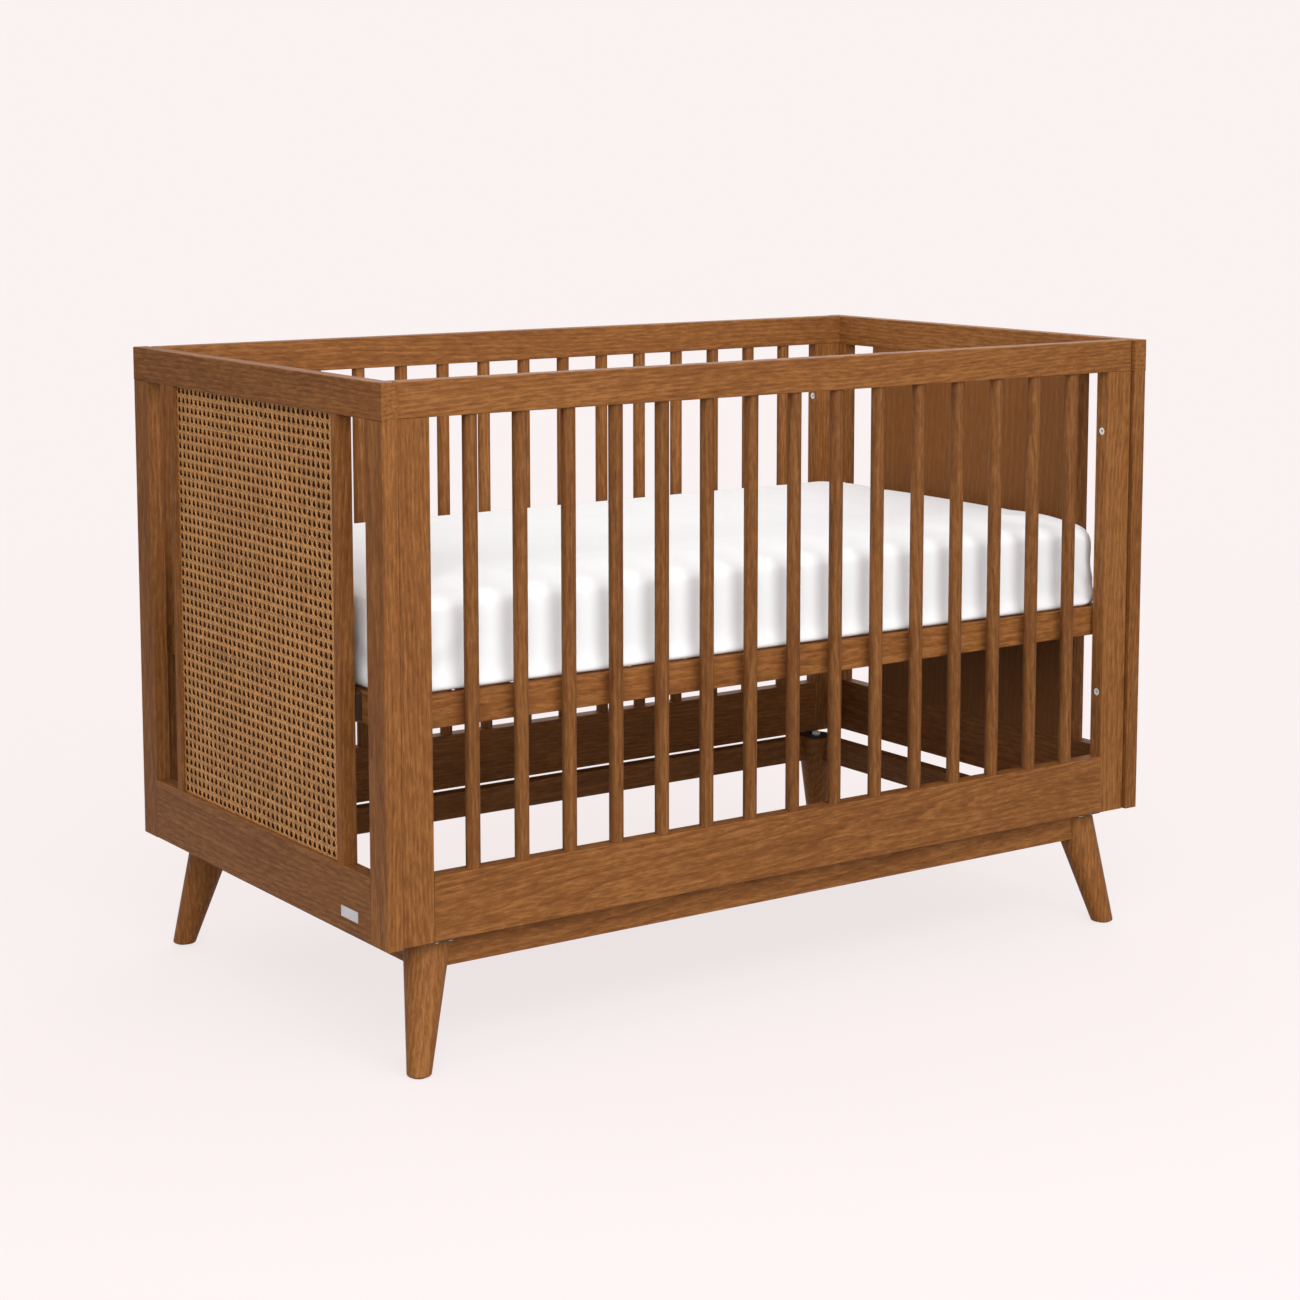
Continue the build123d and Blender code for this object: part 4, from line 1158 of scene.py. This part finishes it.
def ball_inside(rings, spokes, radius):
    """A ball whose faces point inwards, from its lowest ring to its highest."""
    lift = np.linspace(-np.pi / 2, np.pi / 2, rings + 2)[1:-1]
    points = rings_of(radius * np.cos(lift), radius * np.sin(lift), spokes)
    return points, [ring_faces(rings, spokes, inwards=True), end_faces(rings, spokes, inwards=True)]


def backdrop_finish(colour):
    """A pale backdrop that shows its own colour, unshaded."""
    made, tree, shader = new_finish("backdrop")
    feed(tree, shader, {
        "Base Color": (0, 0, 0, 1), "Specular IOR Level": 0, "Emission Color": (*colour, 1),
        "Emission Strength": 1,
    })
    return made


def floor_finish(colour, glow, near, far):
    """A pale floor that fades into the backdrop between two distances from the crib, and isn't there from
    below. It gives off a share of its own tone, so that shadows on it stay faint."""
    made, tree, shader = new_finish("pale floor")
    output = shader.outputs[0].links[0].to_node
    place = own_coordinates(tree)
    lit = shaded(colour, (1 - glow) / FLOOR_LIGHT)
    feed(tree, shader, {
        "Base Color": mottled(tree, noise(tree, place, 3.0, 4.0, 0.5), lit, 0.985),
        "Emission Color": (*colour, 1), "Emission Strength": glow, "Roughness": 1.0,
        "Specular IOR Level": 0.0,
    })
    flat = stretch(tree, place, 1, 1, 0)
    distance = add(tree, "VectorMath", {0: flat}, operation="LENGTH").outputs["Value"]
    fading = add(tree, "MapRange", {"Value": distance, "From Min": near, "From Max": far},
                 interpolation_type="SMOOTHERSTEP").outputs[0]
    underneath = add(tree, "NewGeometry").outputs["Backfacing"]
    clear = calculate(tree, "MAXIMUM", fading, underneath)
    seen_through = add(tree, "BsdfTransparent")
    joined = add(tree, "MixShader", {0: clear, 1: shader.outputs[0], 2: seen_through.outputs[0]})
    tree.links.new(joined.outputs[0], output.inputs["Surface"])
    return made


def soft_light(name, size, power, place, target):
    """A square area light at a place, turned to a target."""
    lamp = bpy.data.lights.new(name, "AREA")
    lamp.shape = "SQUARE"
    lamp.size = size
    lamp.energy = power
    made = bpy.data.objects.new(name, lamp)
    made.location = place
    made.rotation_euler = (Vector(target) - Vector(place)).to_track_quat("-Z", "Y").to_euler()
    bpy.context.scene.collection.objects.link(made)


class CRIB_OT_set_stage(bpy.types.Operator):
    """Set up the pale floor and backdrop, the soft studio light and the camera"""

    bl_idname = "crib.set_stage"
    bl_label = "Set the stage"

    def execute(self, context):
        stage = context.scene.crib_stage
        self.floor_and_backdrop(stage)
        self.light(context.scene, stage)
        self.camera(context.scene, stage)
        context.scene.view_settings.view_transform = "Standard"
        return {"FINISHED"}

    @staticmethod
    def floor_and_backdrop(stage):
        finish = floor_finish(stage.pale, stage.floor_glow, FADE_FROM, FADE_TO)
        floor = new_piece("floor", *disc(6, 96, FLOOR_RADIUS), finish, smooth=False)
        floor.visible_diffuse = False
        backdrop = new_piece("backdrop", *ball_inside(24, 48, BACKDROP_RADIUS), backdrop_finish(stage.pale))
        backdrop.visible_diffuse = False
        backdrop.visible_glossy = False
        backdrop.visible_transmission = False
        backdrop.visible_shadow = False

    @staticmethod
    def light(scene, stage):
        low, high = CAD_BOX
        middle = (low + high) / 2
        # Each light's name, heading from straight in front towards the right, climb, distance, size,
        # power.
        lamps = (
            ("key_light", -17, 25, 4.4, 4.8, stage.key_power),
            ("side_light", -62, 22, 4.6, 4.2, stage.side_power),
            ("back_light", 140, 30, 4.2, 2.4, stage.back_power),
            ("top_light", 0, 85, 3.2, 3.0, stage.top_power),
        )
        for name, heading, climb, distance, size, power in lamps:
            heading, climb = math.radians(heading), math.radians(climb)
            level = math.cos(climb)
            way = Vector((math.sin(heading) * level, -math.cos(heading) * level, math.sin(climb)))
            soft_light(name, size, power, middle + way * distance, middle)
        world = bpy.data.worlds.new("studio")
        world.use_nodes = True
        tree = world.node_tree
        sky = tree.nodes["Background"]
        climb = add(tree, "SeparateXYZ", {0: add(tree, "TexCoord").outputs["Generated"]}).outputs["Z"]
        strength = remap(tree, climb, -0.15, 0.25, stage.low_fill, stage.fill)
        fall = remap(tree, climb, 0.2, 0.9, 1.0, stage.high_share)
        feed(tree, sky, {"Color": SKY_COLOUR, "Strength": calculate(tree, "MULTIPLY", strength, fall)})
        scene.world = world

    @staticmethod
    def camera(scene, stage):
        lens = bpy.data.cameras.new("camera")
        lens.sensor_width = SENSOR_WIDTH
        lens.lens = stage.lens
        lens.shift_x, lens.shift_y = LENS_SHIFT
        made = bpy.data.objects.new("camera", lens)
        made.location = stage.camera_place
        made.rotation_euler = (math.pi / 2 - stage.tilt, 0, -stage.heading)
        scene.collection.objects.link(made)
        scene.camera = made


# ---------------------------------------------------------------- add-on


class CRIB_PT_workshop(bpy.types.Panel):
    """Lists the steps that finish the crib"""

    bl_idname = "CRIB_PT_workshop"
    bl_label = "Crib workshop"
    bl_space_type = "VIEW_3D"
    bl_region_type = "UI"
    bl_category = "Crib"

    def draw(self, context):
        for operator in OPERATORS:
            self.layout.operator(operator.bl_idname)
        for group in SETTINGS:
            box = self.layout.box()
            settings = getattr(context.scene, group)
            for name in settings.bl_rna.properties.keys():
                if name not in ("rna_type", "name"):
                    box.prop(settings, name)


OPERATORS = (
    CRIB_OT_set_stage, CRIB_OT_finish_boards, CRIB_OT_finish_hardware, CRIB_OT_weave_cane,
    CRIB_OT_dress_mattress,
)
SETTINGS = {
    "crib_wood": CribWoodSettings, "crib_cane": CribCaneSettings,
    "crib_mattress": CribMattressSettings, "crib_stage": CribStageSettings,
}


def register():
    for group in (*SETTINGS.values(), *OPERATORS, CRIB_PT_workshop):
        bpy.utils.register_class(group)
    for name, group in SETTINGS.items():
        setattr(bpy.types.Scene, name, PointerProperty(type=group))


def unregister():
    for name in SETTINGS:
        delattr(bpy.types.Scene, name)
    for group in (CRIB_PT_workshop, *reversed(OPERATORS), *reversed(SETTINGS.values())):
        bpy.utils.unregister_class(group)


def main():
    register()
    bpy.ops.crib.set_stage()
    bpy.ops.crib.finish_boards()
    bpy.ops.crib.finish_hardware()
    bpy.ops.crib.weave_cane()
    bpy.ops.crib.dress_mattress()


if __name__ == "__main__":
    main()
